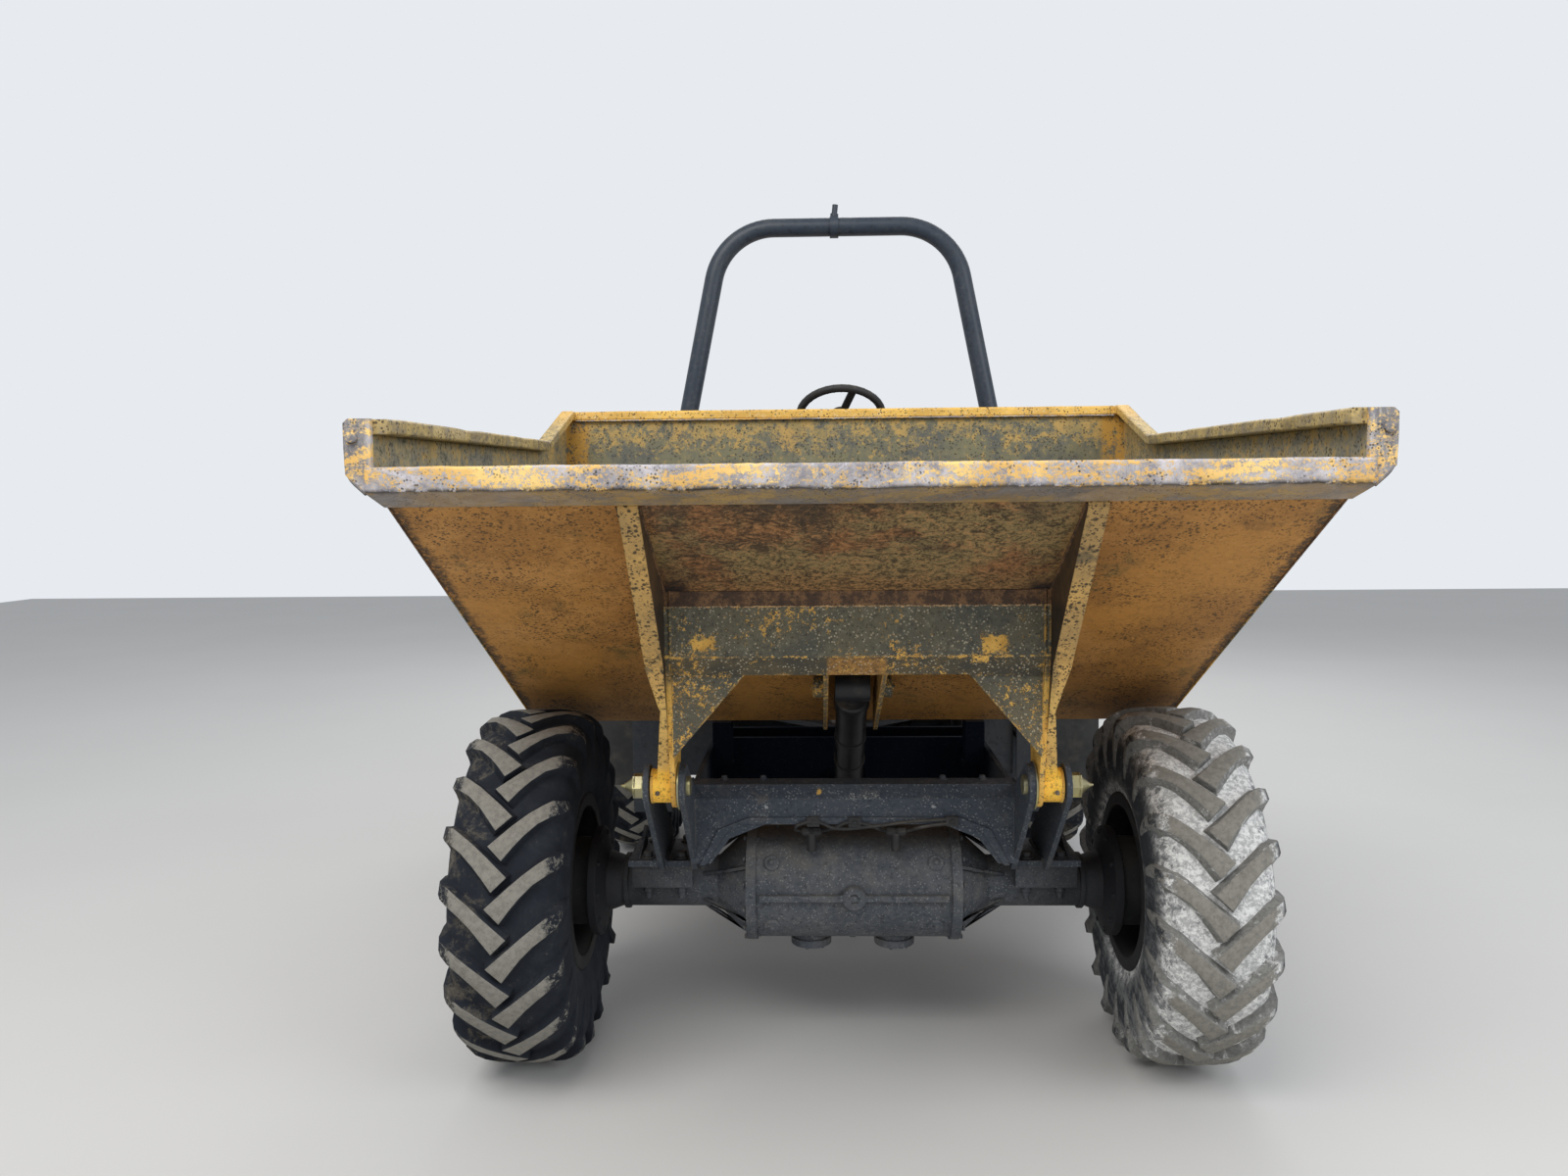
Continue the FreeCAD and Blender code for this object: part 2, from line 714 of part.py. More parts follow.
def ram(base, eye, barrel_radius, rod_radius, eye_radius, pin_hole, width, gland_gap, inward, neck, across):
    """Barrel with base eye, and rod with its eye, between two points; across is the pins' direction."""
    base = Vec(*base)
    eye = Vec(*eye)
    along = (eye - base).normalize()
    length = (Vec(*eye) - Vec(*base)).Length
    half = across * (width / 2)
    gland = length - eye_radius - gland_gap
    barrel = Part.makeCylinder(barrel_radius, gland - neck, base + along * neck, along)
    stem = Part.makeCylinder(width / 2 - 3, neck + 2, base, along)
    base_eye = Part.makeCylinder(eye_radius, width, base - half, across)
    bore_start = max(neck, eye_radius) + ram_bottom_wall
    bore = Part.makeCylinder(rod_radius + bore_gap, gland, base + along * bore_start, along)
    base_hole = Part.makeCylinder(pin_hole, width + 2, base - half - across, across)
    barrel = fuse([barrel, stem, base_eye]).cut(bore).cut(base_hole)
    rod_start = bore_start + inward + 12
    shaft = Part.makeCylinder(rod_radius, length - rod_start - eye_radius * 0.5,
                              base + along * rod_start, along)
    rod_eye = Part.makeCylinder(eye_radius, width, eye - half, across)
    eye_hole = Part.makeCylinder(pin_hole, width + 2, eye - half - across, across)
    piston = fuse([shaft, rod_eye]).cut(eye_hole)
    return barrel, piston


# Rear chassis


def rear_chassis():
    x1 = side_plate_x + side_plate_wall
    start_y = frame_front_y
    side = plate_x([
        (start_y, yoke_low_z - yoke_wall),
        (start_y, chassis_top_z - 10),
        (chassis_end_y, chassis_top_z - 10),
        (chassis_end_y, foot_low_z + 10),
        (rear_y + foot_half_y, foot_low_z),
        (rear_y - foot_half_y, foot_low_z),
        (rear_y - 400, yoke_low_z - yoke_wall),
    ], side_plate_x, x1)
    foot = box(foot_x0, foot_x1, rear_y - foot_half_y, rear_y + foot_half_y,
               foot_low_z, foot_low_z + foot_wall)
    pieces = pair(side) + pair(foot)
    nose = [
        (-60, pivot_y - 58),
        (60, pivot_y - 58),
        (side_plate_x + 1, start_y),
        (side_plate_x + 1, start_y + 190),
        (-side_plate_x - 1, start_y + 190),
        (-side_plate_x - 1, start_y),
    ]
    for z0 in (yoke_low_z - yoke_wall, yoke_top_z):
        z1 = z0 + yoke_wall
        yoke = fuse([plate_z(nose, z0, z1), rod((0, pivot_y, z0), (0, pivot_y, z1), yoke_nose_radius)])
        hole = rod((0, pivot_y, z0 - 1), (0, pivot_y, z1 + 1), kingpin_radius + seat_gap)
        pieces.append(yoke.cut(hole))
    web_y = pivot_y + 3 * head_radius
    web = box(-150, 150, web_y, web_y + frame_wall, yoke_low_z - 1, yoke_top_z + 1)
    pieces.append(web)
    cross_y = steer_base_y + 45
    pieces.append(box(-side_plate_x - 1, side_plate_x + 1, cross_y, cross_y + frame_wall,
                      yoke_top_z - 170, chassis_top_z - 10))
    pieces.append(box(-side_plate_x - 1, side_plate_x + 1, chassis_end_y - frame_wall, chassis_end_y,
                      foot_low_z + 10, chassis_top_z - 10))
    for z0 in (steer_z - steer_fork_gap - 14, steer_z + steer_fork_gap):
        tongue = box(steer_base_x - 38, steer_base_x + 38, steer_base_y, cross_y + 1, z0, z0 + 14)
        tip = rod((steer_base_x, steer_base_y, z0), (steer_base_x, steer_base_y, z0 + 14), 38)
        pieces.append(fuse([tongue, tip]))
    pieces.append(rod((steer_base_x, steer_base_y, steer_z - 50), (steer_base_x, steer_base_y, steer_z + 50),
                      steer_pin_radius))
    return fuse(pieces + engine_mounts())


def kingpin():
    low = yoke_low_z - yoke_wall
    high = yoke_top_z + yoke_wall
    shaft = rod((0, pivot_y, low - 14), (0, pivot_y, high + 14), kingpin_radius)
    caps = [rod((0, pivot_y, high + seat_gap), (0, pivot_y, high + 16), 58),
            rod((0, pivot_y, low - 16), (0, pivot_y, low - seat_gap), 58)]
    return fuse([shaft] + caps)


def rops_beam():
    return box(-rops_foot_x - 85, rops_foot_x + 85, rops_y - beam_box_width / 2,
               rops_y + beam_box_width / 2, guard_z - beam_box_depth, guard_z)


def support_frames(beam):
    """Uprights on the chassis sides that carry the hoop's beam and the guards."""
    x0 = side_plate_x + side_plate_wall
    front = box(x0, x0 + 18, rops_y - 70, rops_y + 70, 640, guard_z - beam_box_depth)
    back_y = rear_y + 400
    back = box(x0, x0 + 10, back_y - 40, back_y + 40, 640, guard_z)
    arm = box(x0, track / 2 + tyre_width / 2 - 40, back_y - 20, back_y + 20, guard_z - 40, guard_z)
    back = fuse([back, arm])
    return [fuse([beam] + pair(front))] + pair(back)


def mudguard():
    top = guard_z + guard_wall
    x1 = track / 2 + tyre_width / 2
    reach = tyre_diameter / 2
    outline = [
        (rear_y - reach - 120, 840),
        (rear_y - reach + 10, guard_z + seat_gap),
        (rear_y + reach - 20, guard_z + seat_gap),
        (rear_y + reach + 110, 860),
    ]
    low = outline + [(y + (guard_wall if i > 1 else -guard_wall), z + guard_wall)
                     for i, (y, z) in reversed(list(enumerate(outline)))]
    notch = box(guard_x0 - 1, rops_foot_x + rops_plate / 2 + 8, rops_y - rops_plate / 2 - 8,
                rops_y + rops_plate / 2 + 8, guard_z, guard_z + 60)
    return plate_x(low, guard_x0, x1).cut(notch)


def deck():
    plate = plate_z([(-deck_half_width, deck_front_y), (deck_half_width, deck_front_y),
                     (deck_half_width, deck_wide_y), (deck_narrow_x, deck_wide_y),
                     (deck_narrow_x, deck_back_y), (-deck_narrow_x, deck_back_y),
                     (-deck_narrow_x, deck_wide_y), (-deck_half_width, deck_wide_y)],
                    deck_top_z - deck_wall, deck_top_z)
    x0 = side_plate_x + side_plate_wall
    edge = box(-deck_half_width, deck_half_width, deck_front_y, deck_front_y + 14,
               deck_top_z - 60, deck_top_z - deck_wall + 1)
    back = box(-deck_narrow_x, deck_narrow_x, deck_back_y - 14, deck_back_y,
               deck_top_z - 40, deck_top_z - deck_wall + 1)
    leg = box(x0, x0 + 12, frame_front_y + 20, deck_wide_y + 20, chassis_top_z - 120,
              deck_top_z - deck_wall + 1)
    return fuse([plate, edge, back] + pair(leg))


def steps():
    x0 = step_in_x
    x1 = deck_half_width
    y0 = deck_front_y + 60
    y1 = rear_y - tyre_diameter / 2 - 145
    top = deck_top_z - 60
    middle = (step_low_z + deck_top_z) / 2 - 25
    sides = [box(x0, x1, y0, y0 + step_wall, step_low_z, top), box(x0, x1, y1 - step_wall, y1, step_low_z, top)]
    treads = [box(x0, x1, y0 + 1, y1 - 1, z, z + 22) for z in (step_low_z + 5, middle)]
    hanger = box(x0, x1, y0, y1, top - 1, deck_top_z - deck_wall - seat_gap)
    hanger = hanger.cut(box(x0 + 14, x1 + 1, y0 + step_wall, y1 - step_wall, top - 2, deck_top_z))
    return fuse(sides + treads + [hanger])


def tank():
    x0 = side_plate_x + side_plate_wall + 12 + seat_gap
    block = box(x0, tank_out_x, deck_front_y + 85, deck_wide_y + 15, tank_low_z, deck_top_z - 40)
    block = block.makeFillet(28, [e for e in block.Edges if abs(e.tangentAt(e.FirstParameter).y) > 0.9])
    filler_y = deck_front_y + 170
    filler_z = deck_top_z - 120
    filler = rod((tank_out_x - 2, filler_y, filler_z), (tank_out_x + 8, filler_y, filler_z), 36)
    return fuse([block, filler])


def rear_bumper():
    plate = box(-620, 620, chassis_end_y + seat_gap, chassis_end_y + 42, 470, chassis_top_z - 10)
    cheeks = pair(box(540, 620, chassis_end_y - 120, chassis_end_y + 1, 470, 640))
    return fuse([plate] + cheeks)


def tow_hitch():
    y0 = chassis_end_y + 42 + seat_gap
    back = box(-90, 90, y0, y0 + 16, 490, 650)
    pieces = [back]
    for z0 in (515, 600):
        tongue = box(-45, 45, y0 + 15, tail_y - 45, z0, z0 + 16)
        tip = rod((0, tail_y - 45, z0), (0, tail_y - 45, z0 + 16), 45)
        pieces.append(fuse([tongue, tip]))
    hitch = fuse(pieces)
    return hitch.cut(rod((0, tail_y - 45, 500), (0, tail_y - 45, 640), 16))


def engine():
    block = box(-220, 220, rear_y + 100, rear_y + 640, 790, 1280)
    pump = rod((0, rear_y + 101, 900), (0, rear_y - 40, 900), 80)
    return fuse([block, pump])


def engine_mounts():
    pieces = []
    for y in (rear_y + 180, rear_y + 560):
        bar = box(220 + seat_gap, 410, y - 35, y + 35, 790, 850)
        leg = box(396, side_plate_x + 1, y - 35, y + 35, 700, chassis_top_z - 10)
        pieces.extend(pair(fuse([bar, leg.fuse(box(396, 410, y - 35, y + 35, 700, 791))])))
    return pieces


def transmission():
    y0 = gearbox_y
    y1 = steer_base_y + 45 - seat_gap
    case = box(-150, 150, y0, y1, 330, 720)
    case = case.makeFillet(30, [e for e in case.Edges if abs(e.tangentAt(e.FirstParameter).y) > 0.9])
    motor = rod((60, y0 + 1, 600), (60, y0 - 90, 600), 62)
    return fuse([case, motor])


def front_propshaft():
    y0 = front_y + pinion_reach + seat_gap
    z = axle_z - 40
    flange = rod((0, y0, z), (0, y0 + 18, z), 55)
    shaft = rod((0, y0 + 10, z), (0, pivot_y, joint_z), 30)
    ball = Part.makeSphere(40, Vec(0, pivot_y, joint_z))
    return fuse([flange, shaft, ball])


def rear_propshafts():
    y1 = gearbox_y - seat_gap
    ahead = rod((0, pivot_y + 46, joint_z), (0, y1 - 10, gearbox_shaft_z), 30)
    cup = rod((0, pivot_y + 45, joint_z), (0, pivot_y + 66, joint_z), 40)
    plate = rod((0, y1 - 18, gearbox_shaft_z), (0, y1, gearbox_shaft_z), 52)
    y2 = steer_base_y + 45 + seat_gap
    y3 = rear_y - pinion_reach - seat_gap
    z = axle_z - 40
    behind = rod((0, y2 - 2 * seat_gap, z), (0, y3, z), 40)
    return [fuse([ahead, cup, plate]), behind]


# Hood, seat and controls


def hood_knuckle():
    """Hinge knuckle and leaf on the hood's front edge."""
    y, z = hood_pivot_y, hood_pivot_z
    knuckle = rod((331, y, z), (371, y, z), 10)
    leaf = box(331, 371, y, y + 22, z + 4, z + 10)
    leaf = leaf.cut(box(330, 372, y - 1, hood_front_y, hood_top_z - 2, hood_top_z + 5))
    return fuse([knuckle, leaf]).cut(rod((330, y, z), (372, y, z), 5 + bore_gap))


def hood():
    """Lifting engine cover: top, two sides and the back, with the grille's opening."""
    outline = [
        (hood_front_y, hood_low_z),
        (hood_front_y, hood_top_z),
        (hood_back_y - 160, hood_top_z),
        (hood_back_y, hood_top_z - 150),
        (hood_back_y, hood_low_z),
    ]
    inner = [
        (hood_front_y - 1, hood_low_z - 1),
        (hood_front_y - 1, hood_top_z - hood_wall),
        (hood_back_y - 168, hood_top_z - hood_wall),
        (hood_back_y - hood_wall, hood_top_z - 157),
        (hood_back_y - hood_wall, hood_low_z - 1),
    ]
    shell = plate_x(outline, -hood_half_width, hood_half_width)
    inside = hood_half_width - hood_wall
    shell = shell.cut(plate_x(inner, -inside, inside))
    opening = box(-320, 320, hood_back_y - 30, hood_back_y + 1, hood_low_z + 70, hood_top_z - 190)
    notch = box(296, 334, hood_front_y - 1, hood_front_y + 8, hood_top_z - 20, hood_top_z + 1)
    shell = shell.cut(opening).cut(notch).cut(mirrored(notch))
    return fuse([shell] + pair(hood_knuckle()))


def grille():
    """Frame and slats that fill the hood's rear opening."""
    y1 = hood_back_y - 2
    frame = box(-320 + seat_gap, 320 - seat_gap, y1 - 14, y1,
                hood_low_z + 70 + seat_gap, hood_top_z - 190 - seat_gap)
    frame = frame.cut(box(-300, 300, y1 - 15, y1 + 1, hood_low_z + 90, hood_top_z - 210))
    slats = []
    count = 9
    span = hood_top_z - 210 - (hood_low_z + 90)
    for i in range(count):
        z = hood_low_z + 90 + span * (i + 0.5) / count
        slats.append(plate_x([(y1 - 13, z + 12), (y1 - 13, z + 8), (y1 - 1, z - 12), (y1 - 1, z - 8)],
                             -301, 301))
    return fuse([frame] + slats)


def bulkhead():
    """Fixed panel between the seat and the engine, on the chassis sides."""
    y1 = hood_front_y - 6
    panel = box(-hood_half_width, hood_half_width, y1 - 14, y1, chassis_top_z - 10, hood_top_z - 20)
    y, z = hood_pivot_y, hood_pivot_z
    knuckle = rod((300, y, z), (330, y, z), 10)
    pin = rod((300, y, z), (378, y, z), 5)
    panel = panel.cut(rod((330, y, z), (372, y, z), 13)).cut(rod((-372, y, z), (-330, y, z), 13))
    return fuse([panel] + pair(knuckle) + pair(pin))


def seat_box():
    block = box(-300, 300, seat_box_y, rear_y - 130, deck_top_z + seat_gap, seat_z - 40)
    return block.cut(box(-301, 301, rops_y - beam_box_width / 2 - seat_gap,
                         rops_y + beam_box_width / 2 + seat_gap, deck_top_z - 1, guard_z + seat_gap))


def seat_frame():
    pan = box(-seat_half_width + 20, seat_half_width - 20, seat_front_y + 20, seat_back_y + 30,
              seat_z - 41, seat_z - 12)
    back = plate_x([(seat_back_y + 14, seat_z - 30), (seat_back_y + 30, seat_z - 30),
                    (seat_back_y + 66, seat_z + 420), (seat_back_y + 52, seat_z + 420)],
                   -seat_half_width + 40, seat_half_width - 40)
    return fuse([pan, back])


def seat_cushion():
    block = box(-seat_half_width, seat_half_width, seat_front_y, seat_back_y - 8,
                seat_z - 12 + seat_gap, seat_z + 90)
    return block.makeFillet(24, block.Edges)


def seat_back():
    low = seat_z + 96
    high = seat_z + 480
    y0 = seat_back_y + 14 - seat_gap
    lean = 38 / 450
    outline = [
        (y0 - 78 + lean * (low - seat_z), low),
        (y0 + lean * (low - seat_z + 30), low),
        (y0 + lean * (high - seat_z + 30), high),
        (y0 - 60 + lean * (high - seat_z), high),
    ]
    block = plate_x(outline, -seat_half_width + 10, seat_half_width - 10)
    return block.makeFillet(20, block.Edges)


def console():
    """Pedestal with a sloping dash, and the steering column's foot."""
    body = plate_x([
        (wheel_y - 155, deck_top_z + seat_gap),
        (wheel_y - 155, dash_z - 60),
        (wheel_y - 130, dash_z),
        (wheel_y - 40, dash_z - 35),
        (wheel_y - 18, dash_z - 160),
        (wheel_y - 55, dash_z - 460),
        (wheel_y, deck_top_z + seat_gap),
    ], -console_half_width, console_half_width)
    return fuse([body, steering_column()])


def tilted(shape):
    """Tip a level shape made at the steering wheel's centre to the wheel's slope."""
    shape.rotate(Vec(0, wheel_y, wheel_z), Vec(1, 0, 0), -wheel_tilt)
    return shape


def steering_column():
    column = rod((0, wheel_y, wheel_z - 20 - bore_gap), (0, wheel_y, wheel_z - column_length), 26)
    return tilted(column)


def steering_wheel():
    centre = Vec(0, wheel_y, wheel_z)
    ring = Part.makeTorus(wheel_radius, wheel_rim_radius, centre, Vec(0, 0, 1))
    hub = Part.makeCylinder(38, 34, centre - Vec(0, 0, 20), Vec(0, 0, 1))
    spokes = []
    for angle in (spoke_angle, spoke_angle + 120, spoke_angle + 240):
        spoke = box(0, wheel_radius, -14, 14, -5, 5)
        spoke.rotate(Vec(0, 0, 0), Vec(0, 0, 1), angle)
        spoke.translate(centre)
        spokes.append(spoke)
    return tilted(fuse([ring, hub] + spokes))


def levers():
    pieces = []
    shelf_z = dash_z - 320
    y = wheel_y - 30
    for x, top in ((console_half_width + 25, dash_z - 70), (console_half_width + 60, dash_z - 90)):
        pieces.append(fuse([rod((x, y, shelf_z + 40), (x, y + 30, top), 8),
                            Part.makeSphere(20, Vec(x, y + 30, top)),
                            box(x - 15, x + 15, y - 25, y + 25, shelf_z + 15, shelf_z + 50)]))
    shelf = box(console_half_width + seat_gap, console_half_width + 85, y - 35, y + 35, shelf_z, shelf_z + 16)
    return fuse(pieces + [shelf])


def pedals():
    pieces = []
    for x in (-110, 120):
        pad = plate_x([(wheel_y + 55, deck_top_z + 60), (wheel_y + 125, deck_top_z + seat_gap),
                       (wheel_y + 145, deck_top_z + seat_gap), (wheel_y + 60, deck_top_z + 74)],
                      x - 40, x + 40)
        pieces.append(pad)
    return pieces


def exhaust():
    """Upright silencer with a bent tail pipe, standing on the rear support arm."""
    x = -hood_half_width - 75
    y = rear_y + 400
    pipe = rod((x, y, guard_z + seat_gap), (x, y, 1566), 32)
    guard = rod((x, y, guard_z + seat_gap), (x, y, 1420), 55)
    tip = rod((x, y - 8, 1540), (x, y + 50, 1630), 30)
    return fuse([pipe, guard, tip])


def rear_lamp():
    """Lamp on a bracket that is bolted to the bumper's end."""
    x0 = 620 + seat_gap
    y0 = chassis_end_y + 10
    bracket = box(x0, x0 + 8, y0, y0 + 60, 640, chassis_top_z - 20)
    arm = box(x0, x0 + 130, y0, y0 + 8, 680, 760)
    lens = box(x0 + 20, x0 + 130, y0 + 7, y0 + 48, 676, 764)
    return fuse([bracket, arm, lens])


# Roll-over hoop


def hoop_path():
    lean = math.atan2(rops_foot_x - rops_top_x, rops_top_z - rops_bend_z)
    foot = Vec(rops_foot_x, rops_y, guard_z + rops_plate_wall)
    knee = Vec(rops_foot_x, rops_y, rops_bend_z)
    shoulder = Vec(rops_top_x, rops_y, rops_top_z)
    up = Vec(0, 0, 1)
    slope = (shoulder - knee).normalize()
    inward = Vec(-1, 0, 0)
    edges = []
    points = [foot, knee, shoulder]
    low_cut = rops_low_bend * math.tan(lean / 2)
    top_cut = rops_top_bend * math.tan((math.pi / 2 - lean) / 2)

    def arc(corner, before, after, cut, radius):
        start = corner - before * cut
        end = corner + after * cut
        middle_dir = (after - before)
        middle_dir.normalize()
        turn = before.getAngle(after)
        middle = corner + middle_dir * (radius / math.cos(turn / 2) - radius)
        return start, Part.Arc(start, middle, end).toShape(), end

    k0, k_arc, k1 = arc(knee, up, slope, low_cut, rops_low_bend)
    s0, s_arc, s1 = arc(shoulder, slope, inward, top_cut, rops_top_bend)
    edges = [Part.LineSegment(foot, k0).toShape(), k_arc, Part.LineSegment(k1, s0).toShape(), s_arc]
    left = [edge.mirror(Vec(0, 0, 0), Vec(1, 0, 0)) for edge in edges]
    top = Part.LineSegment(s1, Vec(-s1.x, s1.y, s1.z)).toShape()
    return Part.Wire(Part.__sortEdges__(edges + [top] + left))


def rops_hoop():
    path = hoop_path()
    foot = Vec(rops_foot_x, rops_y, guard_z + rops_plate_wall)
    circle = Part.Wire(Part.makeCircle(rops_radius, foot, Vec(0, 0, 1)))
    tube = path.makePipeShell([circle], True, False)
    half = rops_plate / 2
    plate = box(rops_foot_x - half, rops_foot_x + half, rops_y - half, rops_y + half,
                guard_z + seat_gap, guard_z + rops_plate_wall + 4)
    return fuse([tube] + pair(plate) + [beacon_spigot()])


def beacon_spigot():
    """Leaning pin with a collar, on a band around the top bar."""
    foot = Vec(spigot_x, rops_y, rops_top_z + rops_radius)
    lean = Vec(math.sin(math.radians(spigot_lean)), 0, math.cos(math.radians(spigot_lean)))
    pin = Part.makeCylinder(spigot_radius, spigot_collar + spigot_length, foot, lean)
    collar = Part.makeCylinder(spigot_radius + 5, spigot_collar, foot, lean)
    band = Part.makeCylinder(rops_radius + 6, 34, Vec(spigot_x - 17, rops_y, rops_top_z), Vec(1, 0, 0))
    return fuse([band, collar, pin])


def build():
    wheel_x = track / 2
    for place, y in (("front", front_y), ("rear", rear_y)):
        for name, side in (("left", 1), ("right", -1)):
            save("tyre_" + place + "_" + name, [tyre(side * wheel_x, y)])
            save("wheel_" + place + "_" + name, [rim(side * wheel_x, y, side)])
    save("front_axle", [axle(front_y, 1)])
    save("rear_axle", [axle(rear_y, -1)])
    save("front_chassis", [front_chassis()])
    save("skip_pivot_pins", pair(skip_pins()))
    save("skip_rest_pads", pair(rest_pad()))
    rim_solid = skip_rim()
    save("skip_rim", [rim_solid])
    save("skip_shell", [skip_shell(rim_solid)])
    save("skip_lip", [skip_lip()])
    save("skip_ribs", pair(skip_rib()))
    save("skip_hinge_frame", [skip_hinge_frame()])
    barrel, piston = ram((0, ram_base_y, ram_base_z), (0, ram_eye_y, ram_eye_z), ram_barrel_radius,
                         ram_rod_radius, ram_eye_radius, ram_pin_radius + bore_gap,
                         96.0, ram_end_gap, 0.0, 25.0, Vec(1, 0, 0))
    save("tip_ram_barrel", [barrel])
    save("tip_ram_rod", [piston])
    barrel, piston = ram((steer_base_x, steer_base_y, steer_z), (steer_eye_x, steer_eye_y, steer_z),
                         steer_barrel_radius, steer_rod_radius, steer_eye_radius,
                         steer_pin_radius + bore_gap, 2 * steer_fork_gap - 4, steer_reserve,
                         steer_inward, 52.0, Vec(0, 0, 1))
    save("steer_ram_barrel", [barrel])
    save("steer_ram_rod", [piston])
    save("articulation_pin", [kingpin()])
    save("rear_chassis", [rear_chassis()])
    beam = rops_beam()
    save("rear_support_frames", support_frames(beam))
    save("mudguards", pair(mudguard()))
    save("operator_deck", [deck()])
    save("access_steps", pair(steps()))
    save("side_tanks", pair(tank()))
    save("rear_bumper", [rear_bumper()])
    save("tow_hitch", [tow_hitch()])
    save("engine_block", [engine()])
    save("transmission", [transmission()])
    save("front_propshaft", [front_propshaft()])
    save("rear_propshafts", rear_propshafts())
    save("engine_hood", [hood()])
    save("hood_grille", [grille()])
    save("engine_bulkhead", [bulkhead()])
    save("seat_base", [fuse([seat_box(), seat_frame()])])
    save("seat_cushion", [seat_cushion()])
    save("seat_back", [seat_back()])
    save("control_console", [console()])
    save("steering_wheel", [steering_wheel()])
    save("driver_controls", [levers()] + pedals())
    save("exhaust", [exhaust()])
    save("rear_lamps", pair(rear_lamp()))
    save("rops_hoop", [rops_hoop()])


build()
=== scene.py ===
import functools
import math
import random

import bmesh
import bpy
from mathutils import Matrix, Vector, noise


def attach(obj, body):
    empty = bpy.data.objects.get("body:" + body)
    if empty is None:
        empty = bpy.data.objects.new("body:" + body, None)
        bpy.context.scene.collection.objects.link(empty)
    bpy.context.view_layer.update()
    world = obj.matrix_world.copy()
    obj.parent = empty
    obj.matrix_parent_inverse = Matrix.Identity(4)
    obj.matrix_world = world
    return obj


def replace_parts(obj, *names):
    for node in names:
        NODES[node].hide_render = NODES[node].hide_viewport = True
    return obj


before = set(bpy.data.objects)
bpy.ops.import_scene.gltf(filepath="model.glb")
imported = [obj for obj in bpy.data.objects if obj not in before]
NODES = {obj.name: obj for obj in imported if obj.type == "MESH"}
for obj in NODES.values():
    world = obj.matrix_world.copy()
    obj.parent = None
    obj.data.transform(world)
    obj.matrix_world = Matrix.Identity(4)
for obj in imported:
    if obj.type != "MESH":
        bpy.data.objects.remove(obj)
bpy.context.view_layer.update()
V = Vector
X, Y, Z = V((1, 0, 0)), V((0, 1, 0)), V((0, 0, 1))


def lerp(a, b, t):
    return a + (b - a) * t


def P(x, y, z):
    """Point from millimetres, with y measured back from the front axle."""
    return V((x / 1000, FRONT + y / 1000, z / 1000))


FRONT = -1.025          # front axle's place along the machine, in metres
REAR = FRONT + 2.1
AXLE_Z = 0.495
WHEEL_X = 0.908         # middle of a tyre
PIN = (-360, 860)       # skip's pivot: (y, z) in millimetres
TIP_BASE, TIP_EYE = P(0, 500, 620), P(0, -100, 1075)
STEER_BASE, STEER_EYE = P(270, 1720, 600), P(280, 815, 600)


# Materials

class Value:
    """One output of a node, so that sums and products can be written as such."""

    def __init__(self, nodes, socket):
        self.nodes = nodes
        self.socket = socket

    def __add__(self, other):
        return self.nodes.math("ADD", self, other)

    def __sub__(self, other):
        return self.nodes.math("SUBTRACT", self, other)

    def __rsub__(self, other):
        return self.nodes.math("SUBTRACT", other, self)

    def __mul__(self, other):
        return self.nodes.math("MULTIPLY", self, other)

    def __abs__(self):
        return self.nodes.math("ABSOLUTE", self)

    __radd__, __rmul__ = __add__, __mul__


